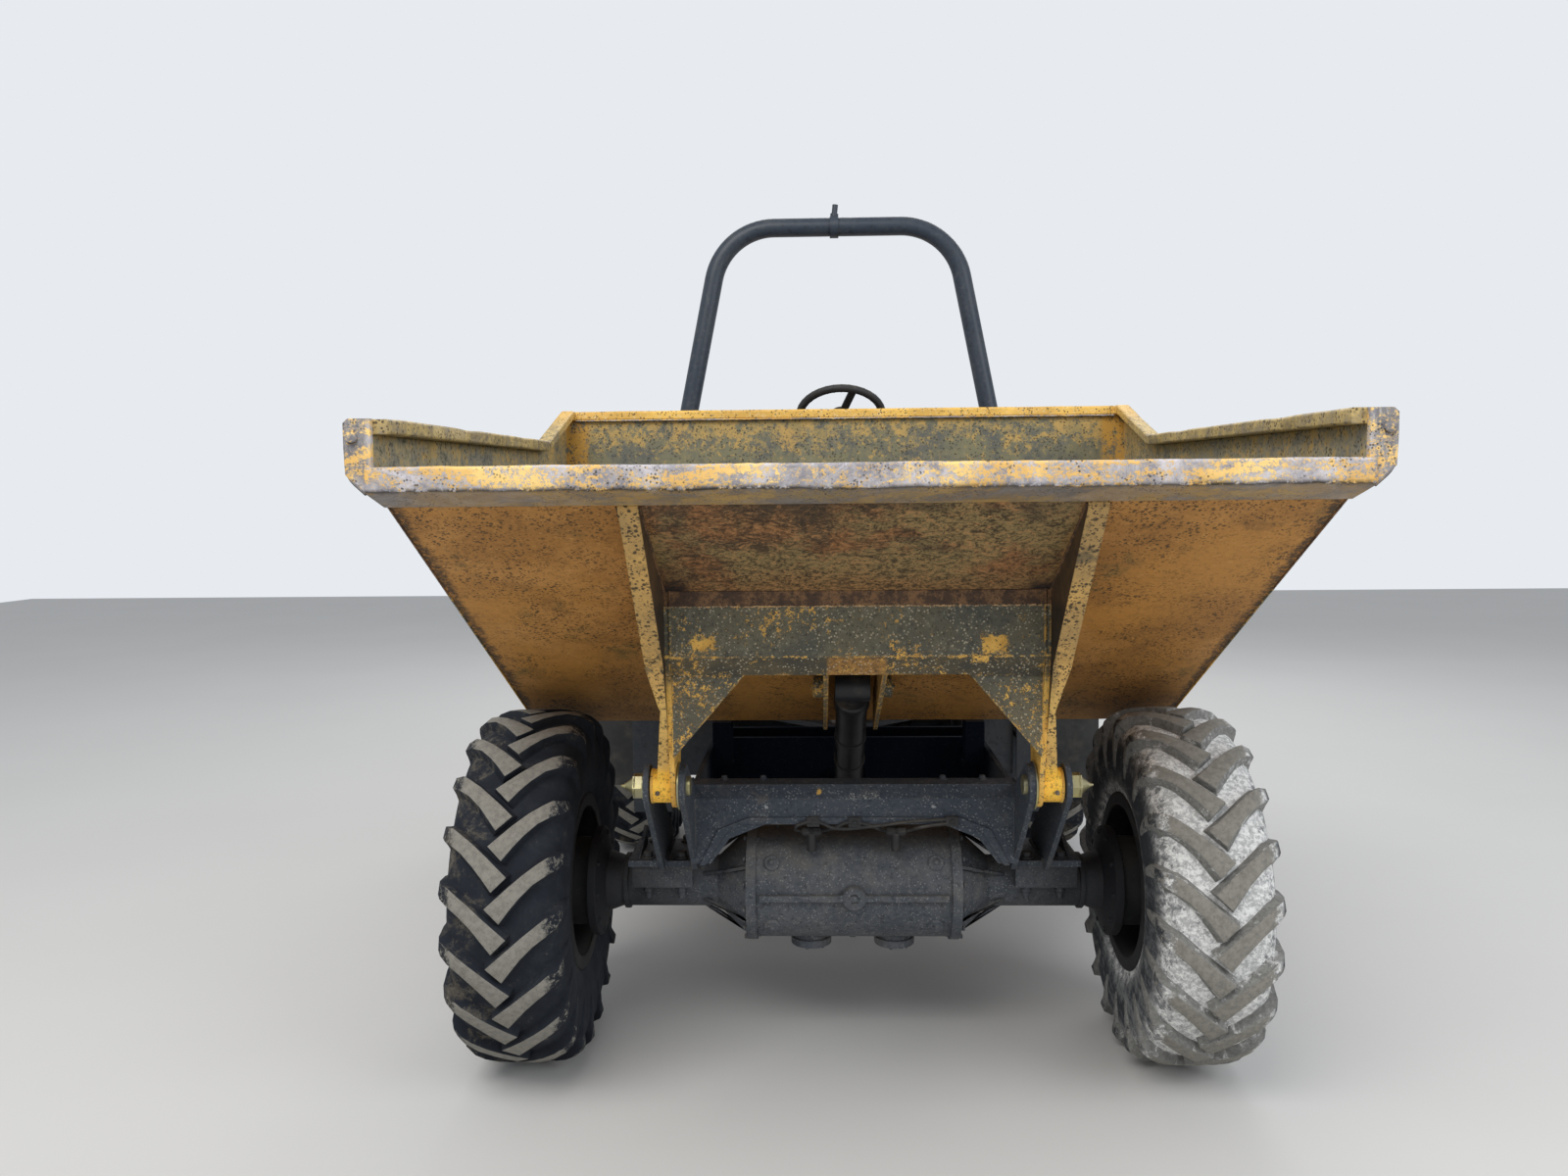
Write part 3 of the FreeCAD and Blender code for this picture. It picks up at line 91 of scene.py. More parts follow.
class Nodes:
    """Short hand for building one material's node tree."""

    def __init__(self, name):
        self.material = bpy.data.materials.new(name)
        self.material.use_nodes = True
        self.tree = self.material.node_tree
        self.tree.nodes.clear()
        self.shader = self.node("BsdfPrincipled")
        self.tree.links.new(self.shader.outputs[0], self.node("OutputMaterial").inputs[0])
        coord = self.node("TexCoord")
        self.pos = Value(self, coord.outputs["Object"])
        self.normal = Value(self, coord.outputs["Normal"])

    def put(self, sock, val):
        """Set an input to a number, a colour or another node's value."""
        if isinstance(val, Value):
            self.tree.links.new(val.socket, sock)
        elif isinstance(val, tuple) and sock.type == "RGBA":
            sock.default_value = (*val, 1)
        else:
            sock.default_value = val

    def node(self, kind, *inputs, **named):
        """New node with its inputs set in order or by name, an underscore standing for a blank."""
        n = self.tree.nodes.new("ShaderNode" + kind)
        for i, val in enumerate(inputs):
            self.put(n.inputs[i], val)
        for key, val in named.items():
            self.put(n.inputs[key.replace("_", " ")], val)
        return n

    def noise(self, scale, detail, rough, vec=None, dist=0.0):
        n = self.node("TexNoise", Scale=scale, Detail=detail, Roughness=rough, Distortion=dist,
                      Vector=vec or self.pos)
        return Value(self, n.outputs[0])

    def stretch(self, *scale):
        """Position with each direction scaled on its own."""
        return Value(self, self.node("Mapping", Vector=self.pos, Scale=scale).outputs[0])

    def step(self, val, lo, hi):
        """0 below lo, 1 above hi (either way round)."""
        n = self.node("MapRange", Value=val, From_Min=lo, From_Max=hi)
        n.interpolation_type = "SMOOTHSTEP"
        return Value(self, n.outputs[0])

    def math(self, op, a, b=0.0):
        n = self.node("Math", a, b)
        n.operation = op
        return Value(self, n.outputs[0])

    def most(self, *values):
        """The largest of several values."""
        return functools.reduce(functools.partial(self.math, "MAXIMUM"), values)

    def vec(self, op, *inputs):
        n = self.node("VectorMath", *inputs)
        n.operation = op
        return Value(self, n.outputs["Value" if op in ("DOT_PRODUCT", "LENGTH") else "Vector"])

    def mix(self, fac, a, b):
        """Colour a where fac is 0, and b where it is 1."""
        n = self.tree.nodes.new("ShaderNodeMix")
        n.data_type = "RGBA"
        for i, val in ((0, fac), (6, a), (7, b)):
            self.put(n.inputs[i], val)
        return Value(self, n.outputs[2])

    def layers(self, colour, coats):
        """Coats of (mask, colour), laid one over the other."""
        for mask, tone in coats:
            colour = self.mix(mask, colour, tone)
        return colour

    def xyz(self, vec=None):
        return [Value(self, out) for out in self.node("SeparateXYZ", vec or self.pos).outputs]

    def specks(self, scale, size, mask=1.0):
        """Small dark spots, thinned out by a mask."""
        cells = Value(self, self.node("TexVoronoi", Scale=scale, Vector=self.pos).outputs["Distance"])
        some = self.step(self.noise(scale * 0.30, 4, 0.7), 0.44, 0.54)
        return self.step(cells, size, size * 0.62) * some * mask

    def soft(self, radius=0.003):
        """Normal rounded off at sharp corners."""
        n = self.node("Bevel", Radius=radius)
        n.samples = 4
        return Value(self, n.outputs[0])

    def edge(self, radius):
        """1 near sharp corners."""
        flat = Value(self, self.node("NewGeometry").outputs["Normal"])
        return self.step(self.vec("DOT_PRODUCT", self.soft(radius), flat), 0.985, 0.90)

    def bump(self, height, strength, distance, normal=None):
        n = self.node("Bump", Height=height, Strength=strength, Distance=distance)
        if normal:
            self.put(n.inputs["Normal"], normal)
        return Value(self, n.outputs[0])

    def finish(self, colour, rough, metal, normal, spec, coat=0.0):
        """Material from its colour, roughness and the rest."""
        for key, val in (("Base Color", colour), ("Roughness", rough), ("Metallic", metal),
                         ("Coat Weight", coat),
                         ("Specular IOR Level", spec)):
            self.put(self.shader.inputs[key], val)
        if normal:
            self.put(self.shader.inputs["Normal"], normal)
        return self.material


RUST = (0.17, 0.065, 0.018)
SOOT = (0.045, 0.038, 0.026)
DUST = (0.30, 0.25, 0.18)


def worn_paint(name, paint, paint2, under, dirt, chips=0.62, dirt_amount=0.5, rust=None, edge=True,
               rough=0.55,
               speck=0.0):
    """Old paint: two tones, dark speckle, chips to what lies under, edge wear and settled dust."""
    n = Nodes(name)
    broad = n.noise(3.1, 5, 0.6)
    col = n.mix(n.step(broad, 0.35, 0.68), paint, paint2)
    fine = n.noise(46, 6, 0.7)
    wear = 0.75 * n.noise(9, 7, 0.72, dist=0.3) + 0.25 * fine
    if edge:
        wear = wear + 0.16 * n.edge(0.008)
    col = n.layers(col, [
        (0.30 * n.step(fine, 0.54, 0.66), dirt),
        (0.45 * n.step(fine, 0.45, 0.36), (0.012, 0.011, 0.010)),
    ])
    chip = n.step(wear, chips, chips + 0.025)
    if rust is not None:
        halo = n.step(wear, chips - 0.07, chips + 0.01)
        col = n.mix(0.7 * halo, col, rust)
    col = n.mix(chip, col, under)
    if speck:
        spots = n.step(n.noise(120, 3, 0.6), 0.60, 0.68) * n.step(n.noise(7, 4, 0.6), 0.45, 0.62)
        col = n.mix(spots * speck, col, (0.03, 0.022, 0.012))
    up = n.xyz(n.normal)[2]
    dust = n.step(n.noise(5, 6, 0.65) + 0.18 * up, 0.42, 0.8) * dirt_amount
    col = n.mix(dust, col, dirt)
    r = 0.25 * fine + rough - 0.1
    height = -0.6 * chip + 0.35 * fine
    return n.finish(col, r, 0.0, n.bump(height, 0.35, 0.0015, n.soft() if edge else None), 0.35)


def skip_material():
    """Hopper: speckled yellow wings, rusty middle under the nose, scuffed grey-olive inside."""
    n = Nodes("skip_paint")
    x, y, z = n.xyz()
    nx, ny, nz = n.xyz(n.normal)
    side_in = n.math("SIGN", x) * nx
    inside = n.most(n.step(nz, 0.25, 0.45), n.step(side_in, -0.35, -0.6))
    rear_in = n.step(ny, -0.3, -0.5) * n.step(y, FRONT + 0.45, FRONT + 0.5)
    inside = n.most(inside, rear_in)
    under = n.step(nz, -0.30, -0.50)
    broad = n.noise(2.1, 6, 0.62)
    mid = n.noise(8.5, 7, 0.72, dist=0.4)
    fine = n.noise(70, 6, 0.75)
    paint = n.mix(n.step(broad, 0.36, 0.66), (0.50, 0.235, 0.050), (0.37, 0.170, 0.040))
    paint = n.layers(paint, [
        (0.75 * n.step(n.noise(3.4, 5, 0.6, dist=0.3), 0.48, 0.66), (0.56, 0.275, 0.075)),
        (0.60 * n.step(mid, 0.50, 0.70), (0.23, 0.110, 0.030)),
        (0.60 * n.step(n.noise(4.6, 6, 0.75, dist=0.2), 0.56, 0.68), (0.125, 0.105, 0.035)),
        (0.45 * n.step(fine, 0.55, 0.68), (0.66, 0.38, 0.13)),
        (0.50 * n.step(fine, 0.46, 0.36), (0.17, 0.080, 0.022)),
    ])
    off = abs(x) + 0.10 * (mid - 0.5)
    middle = n.step(off, 0.50, 0.45) * n.step(ny, 0.30, 0.10) * n.step(z + 0.10 * mid, 1.17, 1.22)
    strokes = n.noise(15, 8, 0.82, vec=n.stretch(1.2, 1.7, 1.7), dist=3.2)
    brown = n.mix(n.step(n.noise(5.0, 8, 0.75, dist=0.9), 0.42, 0.58), (0.290, 0.130, 0.050),
                  (0.085, 0.060, 0.036))
    olive = n.noise(2.6, 6, 0.66, dist=0.5) + 0.09 * n.step(x, -0.30, 0.10)
    brown = n.mix(0.85 * n.step(olive, 0.53, 0.62), brown, (0.300, 0.230, 0.095))
    low = z + 0.12 * (mid - 0.5)
    brown = n.layers(brown, [
        (0.6 * n.step(low, 1.45, 1.38), (0.285, 0.140, 0.055)),
        (0.85 * n.step(strokes, 0.52, 0.58), (0.48, 0.245, 0.095)),
        (0.90 * n.step(strokes, 0.475, 0.42), (0.028, 0.019, 0.013)),
        (0.75 * n.step(fine, 0.48, 0.41), (0.028, 0.019, 0.013)),
    ])
    front = n.step(y, FRONT - 0.70, FRONT - 0.93)
    dark_top = 0.6 * n.step(mid + 0.30 * front, 0.62, 0.80)
    brown = n.mix(dark_top, brown, (0.050, 0.038, 0.025))
    out = n.mix(0.94 * middle, paint, brown)
    cluster = n.step(n.noise(4.2, 6, 0.7, dist=0.4) + 0.10 * front, 0.38, 0.58)
    spots = n.most(n.specks(72, 0.40, cluster), n.specks(135, 0.44, n.step(cluster, -0.4, 1.0)))
    out = n.mix(0.86 * spots, out, (0.040, 0.027, 0.014))
    # Painted shade: a near-black patch on the underside between each rib and the crossmember's end, where
    # that gap lies in deep shade.
    gap_shade = n.step(abs(x), 0.395, 0.43) * n.step(abs(x), 0.485,
                                               0.475) * n.step(z, 1.42, 1.37) * n.step(z, 1.12, 1.17)
    out = n.mix(0.92 * gap_shade * under, out, (0.010, 0.011, 0.016))
    # Darker band along the underside's outer edges, flecked with orange.
    ragged = abs(x) + 0.07 * (n.noise(22, 6, 0.75) - 0.5)
    dark_band = n.step(ragged, 0.968, 0.988) * under
    out = n.mix(0.85 * dark_band, out,
                n.mix(n.step(fine, 0.52, 0.56), (0.040, 0.027, 0.016), (0.30, 0.135, 0.030)))
    # inside faces
    grey = n.mix(n.step(mid, 0.38, 0.62), (0.205, 0.190, 0.112), (0.112, 0.114, 0.104))
    grey = n.mix(0.7 * n.step(n.noise(4.5, 5, 0.65, dist=0.3), 0.50, 0.64), grey, (0.080, 0.084, 0.088))
    streak = n.noise(14, 6, 0.72, vec=n.stretch(1.0, 1.0, 0.22), dist=0.4)
    grey = n.layers(grey, [
        (0.45 * n.step(streak, 0.52, 0.66), (0.26, 0.24, 0.165)),
        (0.55 * n.step(n.noise(48, 7, 0.8), 0.53, 0.62), (0.25, 0.215, 0.10)),
    ])
    high = n.step(z, 1.62, 1.90)
    rag = 0.45 * n.noise(9, 8, 0.80, dist=0.5) + 0.55 * n.noise(46, 7, 0.82)
    wall = n.step(side_in, -0.35, -0.6)
    pale = wall * n.step(rag, 0.40, 0.52)
    grey = n.mix(0.50 * pale, grey, n.mix(n.step(mid, 0.42, 0.58), (0.62, 0.52, 0.33), (0.46, 0.42, 0.34)))
    left = 0.13 * high + 0.055 * wall * n.step(z, 1.60, 1.68)
    left = n.step(rag + left, 0.575, 0.640)
    grey = n.mix(0.75 * left, grey,
                 n.mix(n.step(mid, 0.42, 0.58), (0.60, 0.370, 0.100), (0.40, 0.290, 0.100)))
    corner = n.step(ny, -0.3, -0.5) * n.step(abs(x), 0.90, 0.925)
    grey = n.layers(grey, [
        (0.8 * corner * n.step(rag, 0.44, 0.50), (0.58, 0.30, 0.045)),
        (0.75 * n.specks(95, 0.42), SOOT),
    ])
    col = n.mix(inside, out, grey)
    rough = 0.5 + 0.3 * fine
    lumps = 0.7 * mid + 0.35 * fine
    return n.finish(col, rough, 0.0, n.bump(lumps, 0.35, 0.004, n.soft(0.006)), 0.3)


def rib_material():
    """Ribs and arms: dusty tan-yellow with dark specks, clean at the bosses, dark brown with painted shade on
    their inner sides.
    """
    n = Nodes("rib_paint")
    x, y, z = n.xyz()
    nx = n.xyz(n.normal)[0]
    side_in = n.math("SIGN", x) * nx
    mid = n.noise(11, 7, 0.74, dist=0.5)
    fine = n.noise(80, 6, 0.78)
    col = n.mix(n.step(n.noise(5, 5, 0.6), 0.38, 0.62), (0.64, 0.385, 0.115), (0.46, 0.290, 0.105))
    col = n.layers(col, [
        (0.6 * n.step(mid, 0.52, 0.66), (0.78, 0.48, 0.145)),
        (0.75 * n.step(n.noise(8, 6, 0.75, dist=0.4), 0.55, 0.64), (0.105, 0.090, 0.052)),
    ])
    clean = n.step(z + 0.05 * (mid - 0.5), 0.930, 0.900)
    arm = n.step(z + 0.08 * (mid - 0.5), 1.16, 1.08)
    col = n.layers(col, [
        (0.75 * arm, (0.74, 0.47, 0.130)),
        (0.55 * n.step(fine, 0.46, 0.38), (0.16, 0.100, 0.042)),
        (clean, n.mix(n.step(mid, 0.42, 0.60), (1.0, 0.64, 0.085), (1.0, 0.56, 0.065))),
    ])
    spots = n.most(n.specks(75, 0.42), n.specks(140, 0.44))
    col = n.mix(spots * (0.9 - 0.45 * clean), col, (0.038, 0.028, 0.018))
    # Painted shade: the inner sides get a brown darker than the panel's own, going near-black below z 1.36
    # where the gap beside the crossmember lies in deep shade.
    shade = n.mix(n.step(mid, 0.42, 0.60), (0.050, 0.034, 0.020), (0.100, 0.056, 0.028))
    low = n.step(z, 1.36, 1.33)
    shade = n.mix(0.8 * low, shade, (0.012, 0.011, 0.012))
    inner = n.step(side_in, -0.5, -0.7) * n.step(z, 1.00, 1.08)
    col = n.mix(0.96 * inner, col, shade)
    height = -0.5 * spots + 0.5 * fine
    return n.finish(col, 0.45 + 0.3 * fine, 0.0, n.bump(height, 0.35, 0.002, n.soft(0.006)), 0.35)


def lip_material():
    """Bare worn steel with ragged flakes of paint left on it."""
    n = Nodes("lip_steel")
    mid = n.noise(14, 7, 0.75, dist=0.6)
    fine = n.noise(95, 6, 0.78)
    long = n.noise(9, 7, 0.74, vec=n.stretch(0.55, 1, 1.5), dist=0.5)
    nz = n.xyz(n.normal)[2]
    steel = n.mix(n.step(mid, 0.36, 0.62), (0.64, 0.60, 0.62), (0.28, 0.265, 0.290))
    x, _, z = n.xyz()
    ear = n.step(abs(x), 0.985, 1.005) * n.step(z, 1.61, 1.66)
    steel = n.layers(steel, [
        (0.7 * ear, (0.13, 0.125, 0.125)),
        (0.6 * n.step(n.noise(30, 6, 0.8, vec=n.stretch(2.5, 1, 0.5)), 0.55, 0.68), (0.66, 0.62, 0.56)),
        (0.5 * n.step(fine, 0.57, 0.66), (0.085, 0.072, 0.066)),
    ])
    tiny = n.noise(210, 5, 0.8)
    wear = 0.46 * long + 0.32 * fine + 0.22 * tiny - 0.018 * ear
    bare = 0.508      # wear above which paint is left
    flake = n.step(wear, bare, bare + 0.014)
    halo = n.step(wear, bare - 0.03, bare)
    steel = n.mix(0.55 * halo, steel, (0.60, 0.47, 0.30))
    tone = n.mix(n.step(n.noise(7, 5, 0.6), 0.40, 0.62), (1.0, 0.68, 0.24), (0.82, 0.4896, 0.144))
    col = n.mix(flake, steel, tone)
    below = n.step(nz, -0.25, -0.6)
    stain = n.mix(n.step(n.noise(6, 6, 0.7), 0.44, 0.56), (0.125, 0.100, 0.070), (0.30, 0.185, 0.055))
    col = n.mix(0.75 * below, col, stain)
    # Darker band on the rolled lower edge of the lip, below its front face.
    dark_band = n.step(nz, -0.12, -0.35) * n.step(nz, -0.93, -0.78)
    col = n.mix(dark_band * n.step(n.noise(40, 6, 0.8), 0.40, 0.50), col, (0.030, 0.022, 0.015))
    pits = n.specks(140, 0.40, n.step(n.noise(11, 4, 0.6), 0.42, 0.58))
    col = n.mix(0.85 * pits, col, (0.035, 0.027, 0.020))
    height = 0.5 * flake + 0.8 * mid + 0.3 * fine
    return n.finish(col, 0.42 + 0.3 * fine, 0.0, n.bump(height, 0.4, 0.003, n.soft(0.006)), 0.45)


def rim_material():
    """Capping: sound orange-yellow at the back, rubbed and dusty along the sides."""
    n = Nodes("rim_paint")
    y = n.xyz()[1]
    mid = n.noise(16, 7, 0.75, dist=0.5)
    fine = n.noise(90, 6, 0.78)
    back = n.step(y, FRONT + 0.55, FRONT + 0.86)
    paint = n.mix(n.step(n.noise(5, 5, 0.6), 0.38, 0.62), (0.92, 0.56, 0.120), (0.72, 0.42, 0.090))
    dusty = n.mix(n.step(mid, 0.40, 0.60), (0.58, 0.42, 0.16), (0.36, 0.27, 0.13))
    col = n.mix(back, dusty, paint)
    wear = 0.5 * mid + 0.5 * fine - 0.10 * back
    col = n.mix(0.55 * n.step(fine, 0.53, 0.62), col, (0.90, 0.70, 0.38))
    worn = n.step(wear, 0.515, 0.56)
    col = n.layers(col, [
        (0.8 * worn, n.mix(n.step(mid, 0.42, 0.58), (0.150, 0.125, 0.085), (0.30, 0.25, 0.18))),
        (0.85 * n.specks(115, 0.42), (0.050, 0.035, 0.022)),
    ])
    height = -0.5 * worn + 0.4 * fine
    return n.finish(col, 0.45 + 0.25 * fine, 0.0, n.bump(height, 0.35, 0.002, n.soft(0.006)), 0.35)


def hinge_material():
    """Dark dirty olive with yellow chips, rust and mud film, bright yellow about the bosses."""
    n = Nodes("hinge_paint")
    x, y, z = n.xyz()
    mid = n.noise(9, 7, 0.72, dist=0.4)
    fine = n.noise(75, 5, 0.7)
    speck = n.noise(150, 3, 0.55)
    olive = n.mix(n.step(n.noise(4.5, 6, 0.65, dist=0.5), 0.36, 0.64), (0.080, 0.082, 0.066),
                  (0.135, 0.122, 0.078))
    olive = n.layers(olive, [
        (0.55 * n.step(fine, 0.53, 0.66), (0.27, 0.25, 0.18)),
        (0.6 * n.step(fine, 0.45, 0.36), (0.030, 0.030, 0.026)),
    ])
    film = n.step(mid + 0.15 * n.step(z, 1.215, 1.20), 0.52, 0.66)
    olive = n.mix(0.4 * film, olive, (0.130, 0.105, 0.060))
    # Painted shade: a darker band low on the crossmember's front sheet stands for its shaded under-face.
    underface_shade = n.step(z, 1.211, 1.204) * n.step(z, 1.150, 1.156) * n.step(y, FRONT - 0.44, FRONT - 0.46)
    olive = n.mix(0.75 * underface_shade, olive,
                  n.mix(n.step(mid, 0.40, 0.60), (0.040, 0.036, 0.026), (0.105, 0.080, 0.040)))
    under = n.step(abs(x), 0.078, 0.066) * n.step(z, 1.36, 1.24) * n.step(z, 1.215, 1.20)
    olive = n.mix(0.85 * under, olive,
                  n.mix(n.step(fine, 0.4, 0.6), (0.40, 0.20, 0.045), (0.19, 0.095, 0.030)))
    dy = y - (FRONT + PIN[0] / 1000)
    dz = z - PIN[1] / 1000
    reach = n.math("SQRT", dy * dy + dz * dz)
    rim = n.step(abs(x), 0.4555, 0.4565) * n.step(z + 0.3 * mid, 1.34, 1.24) * n.step(n.noise(48, 6, 0.8),
                                                                                      0.40, 0.47)
    end = n.most(n.step(reach, 0.080, 0.060) * n.step(abs(x), 0.40, 0.43), rim)
    bright = n.mix(n.step(mid, 0.42, 0.62), (0.80, 0.47, 0.10), (0.62, 0.33, 0.06))
    wear = 0.7 * mid + 0.3 * fine + 0.13 * n.edge(0.010)
    cluster = n.step(n.noise(5.5, 5, 0.65, dist=0.4), 0.44, 0.62)
    crumbs = 0.6 * n.noise(52, 6, 0.80) + 0.4 * n.noise(150, 4, 0.75)
    crumbs = crumbs + 0.055 * n.most(cluster, n.edge(0.012))
    low = n.step(z, 1.15, 1.14) * n.noise(26, 5, 0.75, dist=0.5)
    crumb = n.step(crumbs + 0.034 * low, 0.588, 0.600)
    rag = 0.085 * (n.noise(85, 7, 0.85) - 0.5)
    patch = 0.0
    for cx, cz, wide, tall in ((-0.375, 1.242, 0.029, 0.017), (0.335, 1.239, 0.030, 0.022),
                               (0.302, 1.202, 0.020, 0.010)):
        dx = wide - abs(x - cx)
        dz = tall - abs(z - cz)
        patch = n.most(patch, n.step(n.math("MINIMUM", dx, dz) + rag, 0.0, 0.003))
    front = n.step(y, FRONT - 0.484, FRONT - 0.487)     # the crossmember's front sheet
    line = 0.0035 - abs(z - 1.2095)
    line = n.step(line + 0.060 * (n.noise(24, 7, 0.85) - 0.54), 0.0, 0.002)
    line = line * front
    patch = n.most(patch, 0.85 * line)
    chip = n.most(n.step(wear, 0.655, 0.67), crumb, patch, end)
    dots = n.specks(120, 0.34)
    olive = n.mix(0.62 * dots, olive, (0.60, 0.52, 0.36))
    col = n.mix(chip, olive, bright)
    seam = z + 0.016 * (n.noise(60, 6, 0.8) - 0.5)
    above = n.step(seam, 1.3335, 1.3350) * front
    rust = n.mix(n.step(n.noise(20, 7, 0.8), 0.44, 0.58), (0.080, 0.044, 0.025), (0.235, 0.122, 0.052))
    rust = n.mix(0.6 * n.step(fine, 0.46, 0.40), rust, (0.035, 0.024, 0.016))
    col = n.mix(above, col, rust)
    bead = 0.0022 - abs(seam - 1.3330)
    bead = n.step(bead, 0.0, 0.0015) * n.step(n.noise(70, 5, 0.8), 0.46, 0.52)
    col = n.mix(bead * front, col, (0.62, 0.38, 0.17))
    spots = n.step(speck + 0.3 * fine, 0.76, 0.82)
    col = n.mix(0.85 * spots, col, SOOT)
    height = 0.4 * chip + 0.35 * fine
    return n.finish(col, 0.48 + 0.25 * fine, 0.0, n.bump(height, 0.35, 0.002, n.soft()), 0.35)


def rod_material(name, base, eye, rod_r, eye_start):
    """Hard chrome on the rod and black paint on its eye, told apart by the distance from the rod's line."""
    n = Nodes(name)
    w = (eye - base).normalized()
    local = n.vec("SUBTRACT", n.pos, base)
    along = n.vec("DOT_PRODUCT", local, w)
    across = n.vec("LENGTH", n.vec("CROSS_PRODUCT", local, w))
    g = n.noise(50, 5, 0.6)
    painted = n.most(n.step(across, rod_r, rod_r + 0.0005), n.step(along, eye_start, eye_start + 0.001))
    black = n.mix(n.step(n.noise(14, 5, 0.6), 0.5, 0.75), (0.014, 0.015, 0.018), (0.050, 0.045, 0.038))
    col = n.mix(painted, (0.58, 0.58, 0.60), black)
    rough = 0.30 * painted + 0.12 + 0.08 * g
    return n.finish(col, rough, 1.0 - painted, n.bump(g, 0.1, 0.001), 0.4)


def plain(name, colour, colour2, rough, metal, grain, bump, dust, coat=0.0):
    """Moulded or machined finish with faint grain and dust on what faces up."""
    n = Nodes(name)
    g = n.noise(grain, 5, 0.65)
    col = n.mix(n.step(n.noise(7, 5, 0.6), 0.35, 0.7), colour, colour2)
    up = n.xyz(n.normal)[2]
    d = n.step(n.noise(11, 6, 0.7) + 0.2 * up, 0.45, 0.85) * dust
    col = n.mix(d, col, DUST)
    return n.finish(col, rough - 0.06 + 0.14 * g, metal, n.bump(g, bump, 0.001, n.soft(0.002)), 0.4, coat)


def front_material():
    """Front frame: gritty blue-grey, chipped and scuffed on the beam, with painted blue-black shade behind
    it.
    """
    n = Nodes("front_frame_paint")
    x, y, z = n.xyz()
    fine = n.noise(90, 7, 0.8)
    mid = n.noise(14, 6, 0.72, dist=0.4)
    col = n.mix(n.step(n.noise(3.1, 5, 0.6), 0.35, 0.68), (0.043, 0.054, 0.071), (0.062, 0.071, 0.084))
    col = n.layers(col, [
        (0.45 * n.step(mid, 0.52, 0.66), (0.105, 0.102, 0.098)),
        (0.55 * n.step(fine, 0.54, 0.64), (0.125, 0.130, 0.135)),
        (0.55 * n.step(fine, 0.46, 0.38), (0.012, 0.014, 0.018)),
        (0.65 * n.specks(120, 0.34), (0.22, 0.23, 0.23)),
    ])
    wear = n.noise(9, 7, 0.72, dist=0.3) + 0.16 * n.edge(0.008)
    col = n.mix(0.7 * n.step(wear, 0.66, 0.69), col, (0.105, 0.095, 0.085))
    rag = 0.034 * (n.noise(150, 7, 0.85) - 0.5)
    face = n.step(y, FRONT - 0.150, FRONT - 0.160)
    for cx, cz, r, tone in ((-0.094, 0.794, 0.0055, (0.62, 0.37, 0.09)),
                            (-0.240, 0.757, 0.0042, (0.30, 0.31, 0.31)),
                            (0.217, 0.756, 0.0042, (0.30, 0.31, 0.31))):
        off = n.vec("LENGTH", n.vec("MULTIPLY", n.vec("SUBTRACT", n.pos, (cx, 0, cz)), (1, 0, 1)))
        mark = n.step(off + rag, r + 0.002, r)
        col = n.mix(mark * face, col, tone)
    band = n.step(abs(x - 0.025), 0.055, 0.035) * n.step(abs(z - 0.783), 0.010, 0.004)
    scuff = band * face * n.step(n.noise(110, 6, 0.85), 0.52, 0.57)
    col = n.mix(0.8 * scuff, col, (0.42, 0.42, 0.38))
    nx, ny, nz = n.xyz(n.normal)
    inward = n.step(n.math("SIGN", x) * nx, -0.2, -0.5)
    facing = n.most(inward, n.step(ny, -0.2, -0.5), n.step(nz, 0.3, 0.6))
    # Painted shade: behind the beam the frame is painted blue-black, most of all on faces turned inward,
    # backward or up, where shade falls under the hopper; its specular is lowered there too.
    behind_beam_shade = n.step(y, FRONT + 0.10, FRONT + 0.34) * n.most(facing, 0.3)
    col = n.mix(0.92 * behind_beam_shade, col, (0.004, 0.007, 0.015))
    rough = 0.52 + 0.25 * fine
    shine = 0.3 - 0.28 * behind_beam_shade
    return n.finish(col, rough, 0.0, n.bump(fine + mid, 0.4, 0.002, n.soft()), shine)


def axle_material():
    """Rough grey casting, speckled, and black toward the hubs."""
    n = Nodes("axle_cast")
    x = n.xyz()[0]
    mid = n.noise(9, 6, 0.7, dist=0.3)
    fine = n.noise(85, 7, 0.8)
    col = n.mix(n.step(mid, 0.38, 0.62), (0.064, 0.072, 0.084), (0.094, 0.099, 0.108))
    col = n.layers(col, [
        (0.6 * n.step(fine, 0.54, 0.64), (0.165, 0.165, 0.165)),
        (0.65 * n.step(fine, 0.46, 0.38), (0.016, 0.017, 0.019)),
        (0.6 * n.specks(130, 0.32), (0.28, 0.28, 0.27)),
        (0.82 * n.step(abs(x), 0.36, 0.66), (0.014, 0.015, 0.018)),
    ])
    up = n.xyz(n.normal)[2]
    dust = n.step(n.noise(11, 6, 0.7) + 0.2 * up, 0.45, 0.85)
    col = n.mix(0.25 * dust * n.step(abs(x), 0.70, 0.50), col, DUST)
    hub = n.step(abs(x), 0.64, 0.70)
    col = n.mix(0.75 * hub, col, (0.005, 0.005, 0.007))
    height = 0.6 * fine + 0.6 * mid
    return n.finish(col, 0.55 + 0.2 * fine, 0.0, n.bump(height, 0.6, 0.002, n.soft(0.003)), 0.3)


